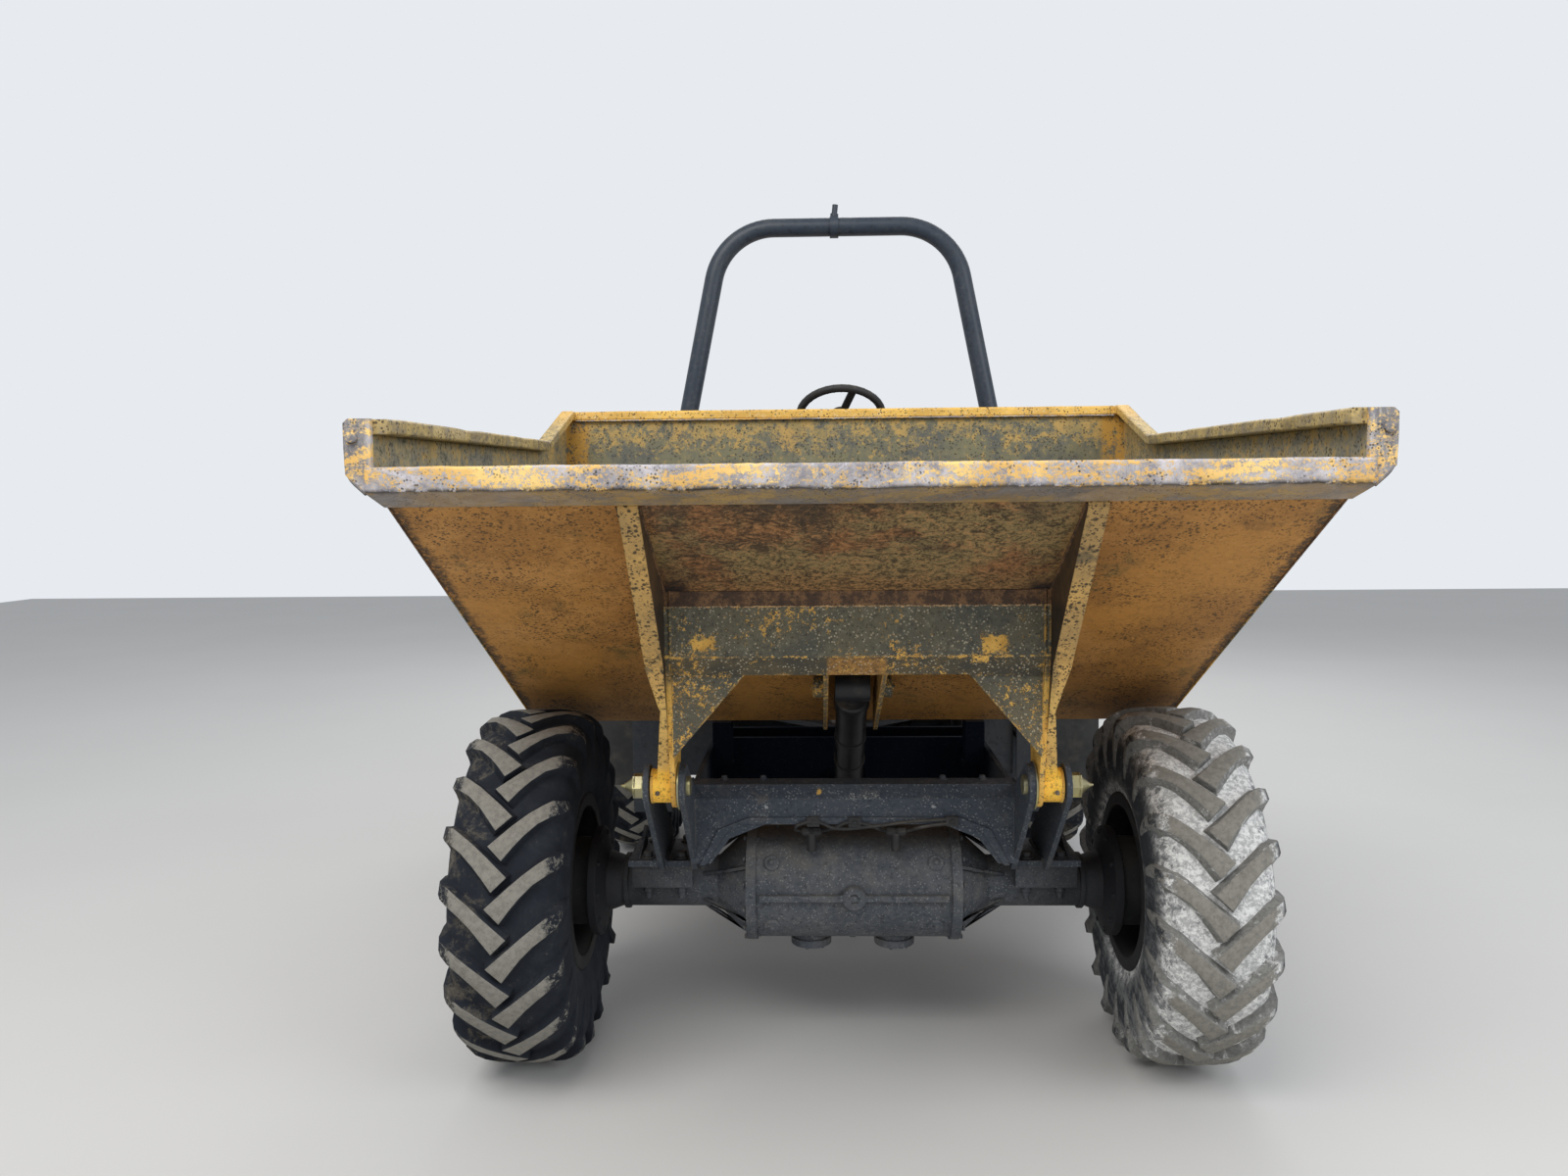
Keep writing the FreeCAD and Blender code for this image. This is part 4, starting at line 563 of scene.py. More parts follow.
def tyre_material(name, dusty, part):
    """Rubber: sooty or dusty voids, streaked sidewall, smooth flanks and rubbed lug faces."""
    n = Nodes(name)
    x, y, z = n.xyz()
    away = abs(abs(x) - WHEEL_X)
    wall = n.step(away, 0.136, 0.152)
    g = n.noise(90, 6, 0.7)
    mid = n.noise(12, 7, 0.7, dist=0.5)
    fine = n.noise(75, 7, 0.8)
    if dusty:
        col = n.mix(n.step(fine, 0.43, 0.57), (0.80, 0.795, 0.77), (0.43, 0.43, 0.42))
        dark = n.step(n.noise(38, 7, 0.82) + 0.10 * n.step(away, 0.08, 0.14), 0.57, 0.65)
        col = n.mix(0.8 * dark, col, (0.105, 0.110, 0.116))
        centre = n.mix(n.step(y, FRONT + 1.0, FRONT + 1.1), (0, FRONT, AXLE_Z), (0, REAR, AXLE_Z))
        local = n.vec("SUBTRACT", n.pos, centre)
        out = n.vec("MULTIPLY", local, (0, 1, 1))
        reach = n.vec("LENGTH", out)
        rays = n.noise(5.5, 7, 0.78, vec=n.vec("NORMALIZE", out), dist=0.25)
        streak = 0.6 * rays + 0.4 * n.noise(30, 6, 0.75)
        sides = n.mix(n.step(streak, 0.47, 0.60), (0.034, 0.038, 0.044), (0.20, 0.205, 0.205))
        sides = n.mix(0.7 * n.step(reach, 0.31, 0.27), sides, (0.15, 0.145, 0.13))
        col = n.mix(wall, col, sides)
        if part == "_flank":
            smooth_grey = n.mix(n.step(fine, 0.40, 0.62), (0.165, 0.163, 0.152), (0.255, 0.251, 0.235))
            col = n.mix(n.step(n.noise(24, 7, 0.8), 0.64, 0.52), col, smooth_grey)
    else:
        col = n.mix(n.step(mid, 0.4, 0.65), (0.014, 0.0170, 0.024), (0.023, 0.027, 0.034))
        mud = n.mix(n.step(n.noise(38, 6, 0.75, dist=0.8), 0.42, 0.62), (0.070, 0.060, 0.048),
                    (0.135, 0.120, 0.095))
        outer = 0.085 * n.step(abs(x), 0.92, 1.00)
        cover = outer + 0.6 * mid + 0.4 * n.noise(50, 6, 0.8)
        cover = n.step(cover, 0.56, 0.66)
        col = n.mix(cover * (0.9 - 0.6 * wall), col, mud)
    if part == "_top":
        worn = n.mix(n.step(n.noise(60, 6, 0.7), 0.35, 0.7), (0.262, 0.248, 0.216), (0.180, 0.170, 0.147))
        worn = n.mix(0.5 * n.step(n.noise(170, 3, 0.6), 0.58, 0.7), worn, (0.115, 0.107, 0.093))
        ends = n.step(away + 0.07 * (n.noise(45, 6, 0.8) - 0.5), 0.118, 0.132)
        chips = ends * n.step(n.noise(65, 6, 0.8), 0.40, 0.50)
        col = n.mix(chips, worn, col)
    height = 0.5 * g + 0.5 * fine
    return n.finish(col, 0.85, 0.0, n.bump(height, 0.4, 0.002, n.soft(0.005)), 0.25)


MAT = {
    "skip_shell": skip_material(),
    "lip": lip_material(),
    "rim": rim_material(),
    "ribs": rib_material(),
    "hinge": hinge_material(),
    "front": front_material(),
    "axle": axle_material(),
    "chassis": worn_paint("chassis_paint", (0.036, 0.045, 0.058), (0.050, 0.057, 0.066),
                          (0.085, 0.080, 0.075),
                          (0.115, 0.105, 0.09), chips=0.70, dirt_amount=0.35, rough=0.6, speck=0.4),
    "yellow": worn_paint("body_paint", (0.64, 0.31, 0.032), (0.52, 0.245, 0.03), (0.11, 0.06, 0.03),
                         (0.28, 0.22, 0.13),
                         chips=0.685, dirt_amount=0.35, rust=RUST, rough=0.42, speck=0.25),
    "rops": worn_paint("hoop_paint", (0.030, 0.041, 0.060), (0.040, 0.051, 0.068), (0.10, 0.10, 0.10),
                       (0.12, 0.12, 0.11),
                       chips=0.76, dirt_amount=0.18, rough=0.38, edge=False),
    "rim_wheel": worn_paint("wheel_paint", (0.010, 0.011, 0.013), (0.018, 0.018, 0.020),
                            (0.060, 0.040, 0.028),
                            (0.055, 0.048, 0.038), chips=0.69, dirt_amount=0.4, rough=0.65),
    "rod": rod_material("tip_rod_finish", TIP_BASE, TIP_EYE, 0.0252, 0.705),
    "steer_rod": rod_material("steer_rod_finish", STEER_BASE, STEER_EYE, 0.0192, 0.868),
    "ram": plain("ram_paint", (0.012, 0.012, 0.014), (0.022, 0.022, 0.024), 0.38, 0.0, 50, 0.1, 0.3),
    "dial": plain("dial_black", (0.008, 0.008, 0.009), (0.012, 0.012, 0.013), 0.25, 0.0, 20, 0.02, 0.25, 0.5),
    "mark": plain("pale_mark", (0.62, 0.62, 0.58), (0.50, 0.50, 0.47), 0.45, 0.0, 80, 0.05, 0.15),
    "vinyl": plain("seat_vinyl", (0.020, 0.020, 0.022), (0.032, 0.031, 0.031), 0.48, 0.0, 420, 0.35, 0.3),
    "zinc": plain("zinc_plate", (0.50, 0.45, 0.20), (0.34, 0.33, 0.26), 0.36, 0.85, 90, 0.12, 0.3),
    "steel": plain("dull_steel", (0.20, 0.19, 0.18), (0.12, 0.105, 0.09), 0.45, 0.8, 70, 0.2, 0.35),
    "plastic": plain("black_moulding", (0.018, 0.018, 0.019), (0.028, 0.028, 0.029), 0.52, 0.0, 140, 0.2,
                     0.25),
    "rubber": plain("soft_rubber", (0.020, 0.020, 0.021), (0.034, 0.033, 0.032), 0.72, 0.0, 90, 0.25, 0.35),
    "flap": plain("flap_rubber", (0.030, 0.031, 0.032), (0.055, 0.055, 0.053), 0.8, 0.0, 45, 0.5, 0.22),
    "engine": plain("engine_cast", (0.075, 0.078, 0.080), (0.050, 0.050, 0.050), 0.55, 0.2, 30, 0.5, 0.3),
    "exhaust": plain("hot_steel", (0.13, 0.085, 0.06), (0.07, 0.052, 0.045), 0.6, 0.5, 40, 0.4, 0.2),
    "lens": plain("red_lens", (0.42, 0.012, 0.008), (0.36, 0.010, 0.008), 0.18, 0.0, 20, 0.02, 0.2, 0.6),
}
for kind, dusty in (("tyre_black", False), ("tyre_grey", True)):
    for part in ("", "_top", "_flank"):
        MAT[kind + part] = tyre_material(kind + part, dusty, part)

for look, nodes in {
    "skip_shell": "skip_shell", "rim": "skip_rim", "lip": "skip_lip", "ribs": "skip_ribs",
    "hinge": "skip_hinge_frame",
    "front": "front_chassis", "axle": "front_axle rear_axle", "zinc": "skip_pivot_pins",
    "rubber": "skip_rest_pads",
    "chassis": "rear_chassis rear_support_frames operator_deck access_steps side_tanks engine_bulkhead "
               "tow_hitch",
    "steel": "articulation_pin front_propshaft rear_propshafts", "ram": "tip_ram_barrel steer_ram_barrel",
    "rod": "tip_ram_rod", "steer_rod": "steer_ram_rod", "yellow": "mudguards rear_bumper engine_hood",
    "plastic": "hood_grille seat_base control_console steering_wheel driver_controls", "rops": "rops_hoop",
    "engine": "engine_block transmission", "exhaust": "exhaust", "lens": "rear_lamps",
    "vinyl": "seat_cushion seat_back",
    "rim_wheel": "wheel_front_left wheel_front_right wheel_rear_left wheel_rear_right",
    "tyre_grey": "tyre_front_left", "tyre_black": "tyre_front_right tyre_rear_left tyre_rear_right",
}.items():
    for node in nodes.split():
        slots = NODES[node].data.materials
        if not slots:
            slots.append(None)
        for i in range(len(slots)):
            slots[i] = MAT[look]


# Shapes

def angles(count, shift=0.0):
    """Even turns round a circle, in radians."""
    return [math.tau * (i + shift) / count for i in range(count)]


def basis(direction):
    """Two directions square to the given one, and its own."""
    w = V(direction).normalized()
    u = w.cross(Z)
    if u.length < 1e-3:
        u = w.cross(Y)
    u.normalize()
    return u, w.cross(u), w


def spoke(u, v, angle):
    return u * math.cos(angle) + v * math.sin(angle)


def radial(angle, r):
    """Step of r metres away from an axle's line."""
    return V((0, r * math.cos(angle), r * math.sin(angle)))


def tube_section(dist, r, thick, count):
    """Round section of a ring, for Shape.turned."""
    return [(dist + thick * math.cos(a), r + thick * math.sin(a)) for a in angles(count)]


class Shape:
    """Collects simple forms in one mesh. Places are in metres; radii, rows and lengths in millimetres."""

    def __init__(self):
        self.bm = bmesh.new()
        self.mat = 0

    def ring(self, pts):
        return [self.bm.verts.new(p) for p in pts]

    def skin(self, rings, closed=True, caps=True):
        """Faces between rings of the same number of points, with end faces."""
        faces = []
        for a, b in zip(rings, rings[1:]):
            count = len(a)
            for i in range(count if closed else count - 1):
                j = (i + 1) % count
                faces.append(self.bm.faces.new((a[i], a[j], b[j], b[i])))
        if caps and closed:
            faces.append(self.bm.faces.new(list(reversed(rings[0]))))
            faces.append(self.bm.faces.new(rings[-1]))
        for f in faces:
            f.material_index = self.mat
        return faces

    def loft(self, outlines):
        """Closed form through two or more outlines."""
        return self.skin([self.ring(points) for points in outlines])

    def stack(self, start, direction, rows, seg=16, turn=0.0):
        """Turned form: rows are (distance, radius)."""
        u, v, w = basis(direction)
        self.loft([[V(start) + (w * dist + spoke(u, v, turn + a) * max(r, 0.01)) / 1000 for a in angles(seg)]
                   for dist, r in rows])

    def turned(self, centre, direction, profile, seg=48):
        """Ring with a closed section of (distance, radius) points."""
        u, v, w = basis(direction)
        rings = [self.ring([V(centre) + (w * dist + spoke(u, v, a) * r) / 1000 for dist, r in profile])
                 for a in angles(seg)]
        self.skin(rings + [rings[0]], caps=False)

    def bolt(self, at, direction, r, h, washer=True):
        """Hexagon head on a washer, with a chamfered top."""
        if washer:
            self.stack(at, direction, [(-1, r * 1.5), (2, r * 1.5), (2.4, r * 1.35)], 14)
        self.stack(at, direction, [(2, r), (h * 0.8, r), (h, r * 0.82)], 6, random.random())

    def bar(self, a, b):
        """Straight bar between two opposite corners."""
        (x0, x1), (y0, y1), (z0, z1) = (sorted(pair) for pair in zip(a, b))
        self.loft([[(x0, y0, z), (x1, y0, z), (x1, y1, z), (x0, y1, z)] for z in (z0, z1)])

    def block(self, centre, up, along, length, width, height):
        """Bar of a length, width and height in its own directions."""
        up, along = V(up).normalized(), V(along).normalized()
        side = up.cross(along)
        self.loft([[V(centre) + (up * height * k + along * length * i + side * width * j) / 1000
                    for i, j in ((-0.5, -0.5), (0.5, -0.5), (0.5, 0.5), (-0.5, 0.5))] for k in (-0.5, 0.5)])

    def tube(self, points, r, seg=10, smooth=4):
        """Round bar along points, with softened corners."""
        pts = [V(p) for p in points]
        path = [pts[0]]
        for a, b, c in zip(pts, pts[1:], pts[2:]):
            cut = min((b - a).length, (c - b).length) * 0.42
            p0 = b + (a - b).normalized() * cut
            p1 = b + (c - b).normalized() * cut
            path += [p0.lerp(b, t).lerp(b.lerp(p1, t), t) for t in [i / smooth for i in range(smooth + 1)]]
        clean = [path[0]]
        for p in path[1:] + [pts[-1]]:
            if (p - clean[-1]).length > 1e-5:
                clean.append(p)
        u = None
        rings = []
        for before, p, after in zip(clean[:1] + clean, clean, clean[1:] + clean[-1:]):
            w = (after - before).normalized()
            if u is None:
                u = basis(w)[0]
            u = (u - w * u.dot(w)).normalized()
            rings.append([p + spoke(u, w.cross(u), a) * r / 1000 for a in angles(seg)])
        self.loft(rings)

    def weld(self, a, b, r):
        """Bead of overlapping scallops between two points."""
        length = (b - a).length
        count = max(4, int(length / 0.006) * 2)
        self.stack(a, b - a,
                   [(1000 * length * i / count,
                     r * (0.80 if i % 2 else 1.08) * (0.94 + 0.12 * random.random()))
                              for i in range(count + 1)], 8)

    def welds(self, side, rows):
        """Beads on one side of the machine, each given by both its ends and its radius."""
        for x0, y0, z0, x1, y1, z1, r in rows:
            self.weld(P(side * x0, y0, z0), P(side * x1, y1, z1), r)

    def piece(self, name, body, slot, looks, bevel=0.0, sharp=35, seg=2):
        """Turn what was collected into one object, shade it and tell the frame where it belongs."""
        mesh = bpy.data.meshes.new(name)
        bmesh.ops.recalc_face_normals(self.bm, faces=self.bm.faces)
        self.bm.to_mesh(mesh)
        self.bm.free()
        obj = add(name, mesh)
        for look in ([looks] if isinstance(looks, str) else looks):
            mesh.materials.append(MAT[look])
        if bevel:
            mod = obj.modifiers.new("edges", "BEVEL")
            mod.width = bevel / 1000
            mod.segments = seg
            mod.limit_method = "ANGLE"
            mod.angle_limit = math.radians(40)
            bake(obj)
        smooth(obj, sharp)
        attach(obj, body)
        return obj


def add(name, data):
    """New object in the scene."""
    obj = bpy.data.objects.new(name, data)
    bpy.context.scene.collection.objects.link(obj)
    return obj


def bake(obj):
    """Apply every modifier."""
    bpy.context.view_layer.update()
    deps = bpy.context.evaluated_depsgraph_get()
    mesh = bpy.data.meshes.new_from_object(obj.evaluated_get(deps))
    obj.modifiers.clear()
    old = obj.data
    obj.data = mesh
    mesh.name = obj.name
    if old.users == 0:
        bpy.data.meshes.remove(old)


def smooth(obj, degrees):
    """Shade smooth, with edges kept sharp where faces meet at more than an angle."""
    mesh = obj.data
    mesh.shade_smooth()
    limit = math.cos(math.radians(degrees))
    bm = bmesh.new()
    bm.from_mesh(mesh)
    for e in bm.edges:
        e.smooth = not (len(e.link_faces) == 2 and e.link_faces[0].normal.dot(e.link_faces[1].normal) < limit)
    bm.to_mesh(mesh)
    bm.free()


# Tyres

TREAD = [(0.0, 0.4705), (0.050, 0.4697), (0.088, 0.4655), (0.114, 0.4565), (0.132, 0.4410), (0.1435, 0.4200),
         (0.1495, 0.3950), (0.1525, 0.3600), (0.1520, 0.3200), (0.1470, 0.2850), (0.137, 0.2600),
         (0.136, 0.2520),
         (0.129, 0.2480), (0.127, 0.2300)]      # half of the carcass: (distance from its middle, radius)
LUGS = 20
LUG_PHASE = {-1: math.radians(8.4), 1: math.radians(12.5)}     # turn of the first lug, by side of the machine
LUG_SWEEP = 0.160       # how far a lug runs round the tyre on its way to the shoulder
LUG_REACH = 0.190       # and across it, measured on the carcass
LUG_CURVE = 1.4         # how much it straightens toward the shoulder
CROWN = 0.495           # radius at which the sweep is measured
TYRE_R = 0.4951         # no lug stands past this
LUG_STATIONS = ((-0.0085, 24.5, 28.5), (0.020, 24.5, 24.5), (0.045, 25.0, 20.5), (0.077, 26.0, 18.3),
                (0.105, 27.0, 18.8), (0.125, 27.5, 19.5), (0.140, 27.0, 19.5), (0.152, 22.0, 18.5),
                (0.164, 14.0, 17.0), (0.182, 9.0, 15.5), (0.208, 6.0, 14.5), (0.240, 3.0, 12.0),
                (0.262, 0.3, 9.0))     # (distance from the middle, height and half width in millimetres)
WHEELS = (("front_left", 1, FRONT), ("front_right", -1, FRONT), ("rear_left", 1, REAR),
          ("rear_right", -1, REAR))


def tread_point(p):
    """Point of the carcass at a distance p from its middle, measured along it."""
    left = abs(p)
    for (a0, r0), (a1, r1) in zip(TREAD, TREAD[1:]):
        d = math.hypot(a1 - a0, r1 - r0)
        if left <= d:
            t = left / d
            return lerp(a0, a1, t), lerp(r0, r1, t)
        left -= d
    return TREAD[-1]


def tread_normal(p):
    """Outward direction of the carcass there."""
    step = 0.006
    a0, r0 = tread_point(max(abs(p) - step, 0.0))
    a1, r1 = tread_point(abs(p) + step)
    return V((r0 - r1, a1 - a0)).normalized()


def tyre(corner, side, y, kind, seed):
    """Carcass with two rows of curved lugs. Looks: the carcass, the lugs' faces, their flanks."""
    random.seed(seed)
    s = Shape()

    def place(across, r, angle):
        return side * WHEEL_X + across, y - r * math.cos(angle), AXLE_Z + r * math.sin(angle)

    profile = [(-a, r) for a, r in reversed(TREAD[1:])] + TREAD
    rings = [s.ring([place(a, r, angle) for a, r in profile]) for angle in angles(LUGS * 6)]
    s.skin(rings + [rings[0]], closed=False, caps=False)
    s.mat = 2
    for hand, shift in ((1, 0.0), (-1, 0.5)):
        for turn in angles(LUGS, shift):
            wob = [random.uniform(-1, 1) for _ in range(4)]
            rings = []
            for k, (p, height, width) in enumerate(LUG_STATIONS):
                left = 1 - min(max(p, 0), LUG_REACH) / LUG_REACH
                arc = (LUG_SWEEP * (1 - left ** LUG_CURVE) + min(p, 0)) / CROWN
                slope = 1.0 if p < 0 else LUG_CURVE * LUG_SWEEP / LUG_REACH * left ** (LUG_CURVE - 1)
                w = width / 1000 * (1 + 0.03 * wob[k % 4])
                h = height / 1000
                perp = V((-slope, 1.0)).normalized()
                foot, knee = (1.45, 1.15) if p < 0.11 else (2.6, 1.45)
                row = []
                for wide, up in ((-foot, -0.004), (-knee, h * 0.45), (-0.95, h), (0.95, h), (1.12, h * 0.4),
                                 (1.45, -0.004)):
                    at = p + perp.x * w * wide * (1.0 if p < 0.13 else 0.25)
                    a, r = tread_point(at)
                    out = tread_normal(at)
                    a = math.copysign(1, at) * (a + out.x * up)
                    row.append(place(hand * a, min(r + out.y * up, TYRE_R),
                                     LUG_PHASE[side] + turn + arc + perp.y * w * wide / CROWN))
                rings.append(row)
            faces = s.loft(rings)
            for k in range(8):
                faces[k * len(row) + 2].material_index = 1
    name = "tyre_" + corner
    obj = s.piece(name + "_dressed", corner + "_wheel", "tyre_rubber", [kind, kind + "_top", kind + "_flank"],
                  bevel=3, sharp=38)
    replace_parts(obj, name)


# Pieces that dress the frame

def wheel_dressing(body, side, y):
    """Nuts, swaged ring, cap bolts, valve and rounded flanges of one wheel."""
    out = X * side
    mid = V((side * WHEEL_X, y, AXLE_Z))
    face = mid + out * 0.004
    cap = mid + out * 0.056
    s = Shape()
    s.turned(face, out, [(-2, 150), (5, 156), (7, 171), (5, 186), (-2, 194)], 64)
    s.turned(face, out, [(-4, 216.5), (-4, 209), (1, 209.5), (5, 216.5)], 96)
    s.turned(mid - out * 0.008, -out, [(-2, 130), (12, 130), (12, 120), (-2, 120)])
    for edge in (out, -out):
        s.turned(mid + edge * 0.132, edge, tube_section(0, 244.5, 6.2, 8), 96)
        s.turned(mid + edge * 0.126, edge, tube_section(8, 216.5, 4, 6), 96)
    s.turned(face, out, [(0, 104), (10, 104), (12, 102), (12, 90), (0, 90)])
    s.stack(cap - out * 0.001, out, [(0, 52), (3, 52), (5, 49)], 40)
    for a in angles(12):
        s.bolt(face + out * 0.012 + radial(a, 0.0965), out, 4.8, 5, False)
    s.stack(cap, out, [(4, 14), (12, 13), (14, 11)], 6)
    s.stack(mid - out * 0.160, -out, [(-1, 124), (1.5, 124), (2, 118)], 40)
    s.piece(body + "_dressing", body, "rim_grey", "rim_wheel", sharp=30)
    s = Shape()
    for a in angles(10, 0.5):
        at = face + radial(a, 0.126)
        s.stack(at, out, [(-1, 19.5), (4, 19.5), (5, 18)])
        s.stack(at, out, [(4, 16), (19, 16), (22, 12.5)], 6, random.random())
        s.stack(at, out, [(20, 9), (33, 9), (35, 7.2)], 12)
    valve = face + radial(2.4, 0.203)
    s.tube([valve - out * 0.002, valve + out * 0.02, valve + out * 0.045 + radial(2.4, -0.012)], 4.2, 8)
    s.piece(body + "_nuts", body, "zinc", "steel", sharp=30)


def axle_dressing(name, body, y, nose):
    """Bolted flanges, ribs, plugs, cup rims and foot bolts; nose is the pinion's side."""
    s = Shape()
    c = V((0, y, AXLE_Z))
    face = -nose
    for side in (1, -1):
        out = X * side
        for a in angles(14, 0.5):
            s.bolt(c + out * 0.2715 + radial(a, 0.1505), -out, 8.5, 11)
            s.bolt(c + out * 0.3005 + radial(a, 0.1575), out, 7.5, 9, False)
        for a in angles(6, 0.5):
            thick = radial(a + math.pi / 2, 0.005)
            rib = [c + out * along + radial(a, r)
                   for along, r in ((0.299, 0.146), (0.299, 0.1605), (0.392, 0.086), (0.430, 0.070))]
            s.loft([[p + thick for p in rib], [p - thick for p in rib]])
        s.turned(c + out * 0.640, out, [(0, 71), (0, 79), (14, 79), (14, 71)], 40)
        s.turned(c + out * 0.7205, out, [(0, 148), (0, 153.5), (23, 153.5), (23, 148)])
        for a in angles(10):
            s.bolt(c + out * 0.7215 + radial(a, 0.136), -out, 7.5, 10)
        cup = V((side * 0.120, y, 0.313))
        s.turned(cup, -Z, [(-20, 51), (-20, 58), (1, 58), (2, 51), (1, 35), (-4, 35)], 36)
        for a in angles(6, 0.25):
            s.bolt(cup + spoke(X, Y, a) * 0.045 - Z * 0.001, -Z, 5.5, 7, False)
        s.stack(cup, -Z, [(-6, 16), (6, 16), (10, 10), (14, 10)], 6)
        for x in (0.485, 0.580):
            for dy in (-0.082, 0.082):
                at, low = V((side * x, y + dy, 0.585)), V((side * x, y + dy, 0.505))
                s.stack(at, Z, [(-1, 20), (4, 20), (4.5, 18)])
                s.stack(at, Z, [(4, 14.5), (17, 14.5), (19, 12)], 6, random.random())
                s.stack(low, -Z, [(-1, 15.5), (14, 15.5), (16, 13)], 6, random.random())
                s.stack(low, -Z, [(10, 10), (34, 10), (36, 8)], 12)
    s.bar((-0.262, y + face * 0.150, AXLE_Z - 0.009), (0.262, y + face * 0.1715, AXLE_Z + 0.009))
    s.stack(c + Y * face * 0.150, Y * face, [(0, 36), (18, 34), (24, 30), (24.5, 14), (18, 13)], 28)
    for side in (1, -1):
        for top in (1, -1):
            x, z = side * 0.214, AXLE_Z + top * 0.150
            s.bar((x - 0.006, y - 0.010, z - 0.006), (x + 0.006, y + 0.010, z + 0.010))
            pad = V((side * 0.228, y + face * 0.128, AXLE_Z + top * 0.088))
            lean = V((0, face, top * 0.62))
            s.stack(pad, lean, [(-10, 24), (6, 22), (8, 19)], 20)
            s.bolt(pad + lean.normalized() * 0.007, lean, 8, 9)
    s.stack(c + V((0.05, 0, 0.155)), Z, [(-10, 16), (6, 16), (10, 12), (16, 12)], 12)
    s.stack(c - Z * 0.155, -Z, [(-6, 20), (5, 18), (12, 12)], 6)
    end = V((0, y + nose * 0.2985, AXLE_Z - 0.040))
    s.turned(end, Y * nose, [(-30, 60), (-30, 69), (-12, 69), (-12, 60)], 36)
    for a in angles(12):
        s.bolt(c + Y * nose * 0.2145 + spoke(X, Z, a) * 0.118, Y * nose, 7, 9)
    s.piece(name, body, "chassis_grey", "axle", bevel=1.5, sharp=32, seg=1)


def front_frame_dressing():
    """Beam's edge and welds, foot welds, rings, grease nipples and pin details."""
    s = Shape()
    s.bar(P(-287, -183.5, 708.5), P(287, -177, 727.5))
    for side in (1, -1):
        end = ((287, 727.5), (287, 712), (350, 684), (408, 594), (424, 594), (372, 694))
        s.loft([[P(side * x, y, z) for x, z in end] for y in (-183, -176)])
        s.welds(side, [(x, y0, z0, x, y1, z1, r) for x, y0, z0, y1, z1, r in (
            (449, -150, 812, -82, 812, 4), (436, -178, 640, -178, 775, 4.5), (451, -110, 586, 108, 586, 5),
            (451, -131, 566, -131, 640, 5), (527, -108, 586, 88, 586, 5), (543, -108, 586, 88, 586, 5),
            (434, 725, 500, 725, 780, 5), (434, 552, 560, 552, 780, 5), (374, 400, 741, 480, 741, 4))])
        for x in (250, 360):
            s.bolt(P(side * x, -92, 812), Z, 9, 11)
        for y in (560, 700):
            for z in (760, 640):
                s.bolt(P(side * 450, y, z), X * side, 10, 12)
        s.loft([[P(side * x, y, z) for y,
                 z in ((-96, 586), (60, 586), (60, 640), (-40, 604))] for x in (600, 610)])
    for a in angles(10, 0.5):
        s.bolt(P(104 * math.cos(a), 890, 600 + 104 * math.sin(a)), -Y, 8, 10)
    s.weld(P(-90, 571, 690), P(90, 571, 690), 5)
    s.piece("front_frame_dressing", "front_unit", "chassis_grey", "front", sharp=32)
    s = Shape()
    for side in (1, -1):
        out = X * side
        s.turned(P(side * 450.6, *PIN), out, [(0, 59.5), (0.4, 61.2), (4.3, 61.2), (4.7, 59.5)], 64)
        s.stack(P(side * 595, *PIN), out,
                [(-4, 7.8), (1, 7.4), (1.5, 4.5), (6, 4.5), (7, 3), (9, 3.4), (10, 2)], 10)
        s.turned(P(side * 566, *PIN), out, [(0, 27), (0, 32.2), (2, 32.2), (6, 27)], 32)
    s.piece("pin_rings", "front_unit", "zinc", "zinc", sharp=30)
    s = Shape()
    for side in (1, -1):
        s.stack(P(side * 505, -402, 851), (0, -1, -0.15),
                [(-2, 6), (4, 6), (4.5, 3.5), (9, 3.5), (10, 2.6), (12, 3), (13, 1.5)], 10)
    s.piece("boss_nipples", "skip", "zinc", "steel", sharp=30)


def skip_dressing():
    """Welds and fixings under the hopper, and the bracket's pin heads."""
    s = Shape()

    def nose(y):
        return 895 + 701 / 1250 * (360 - y)

    def end(x, y):
        return x, y, nose(y) - 1

    for side in (1, -1):
        out = X * side
        s.welds(side, [(*end(x, -862), *end(x, -305), 3.8) for x in (469, 516)])
        s.welds(side, ((*end(456, -488), *end(82, -488), 4.5), (456, -490, 1378, 456, -490, 1215, 4),
                       (456, -457, 1160, 456, -420, 975, 4), (452, -456, 1166, 275, -456, 1166, 4),
                       (82, -476, 1330, 82, -476, 1235, 3.5), (*end(82, -470), *end(82, 150), 3.5),
                       (1000.5, -880, nose(-880), 1000.5, 350, nose(350), 3),
                       (1000.5, -890, 1598, 1000.5, -890, 1740, 3)))
        head = P(side * 107, -100, 1075)
        s.turned(head, out, [(-4, 24), (-4, 30.5), (1, 30.5), (3, 24)], 32)
        s.bolt(head, out, 10, 10)
        s.turned(P(side * 524, *PIN), out, [(-6, 41), (-6, 44.8), (0.5, 44.8), (0.5, 41)], 40)
    s.piece("skip_welds", "skip", "hinge_olive", "hinge", sharp=32)
    s = Shape()
    for side in (1, -1):
        hole = P(side * 1026, -990, 1722)
        s.stack(hole, -Y, [(-3, 12), (4, 12), (5, 10)])
        s.stack(hole, Y, [(3, 10), (12, 10), (14, 8)], 6)
    s.weld(P(-955, 876, 1881), P(955, 876, 1881), 3.5)
    s.piece("skip_rim_details", "skip", "worn_steel", "lip", sharp=32)


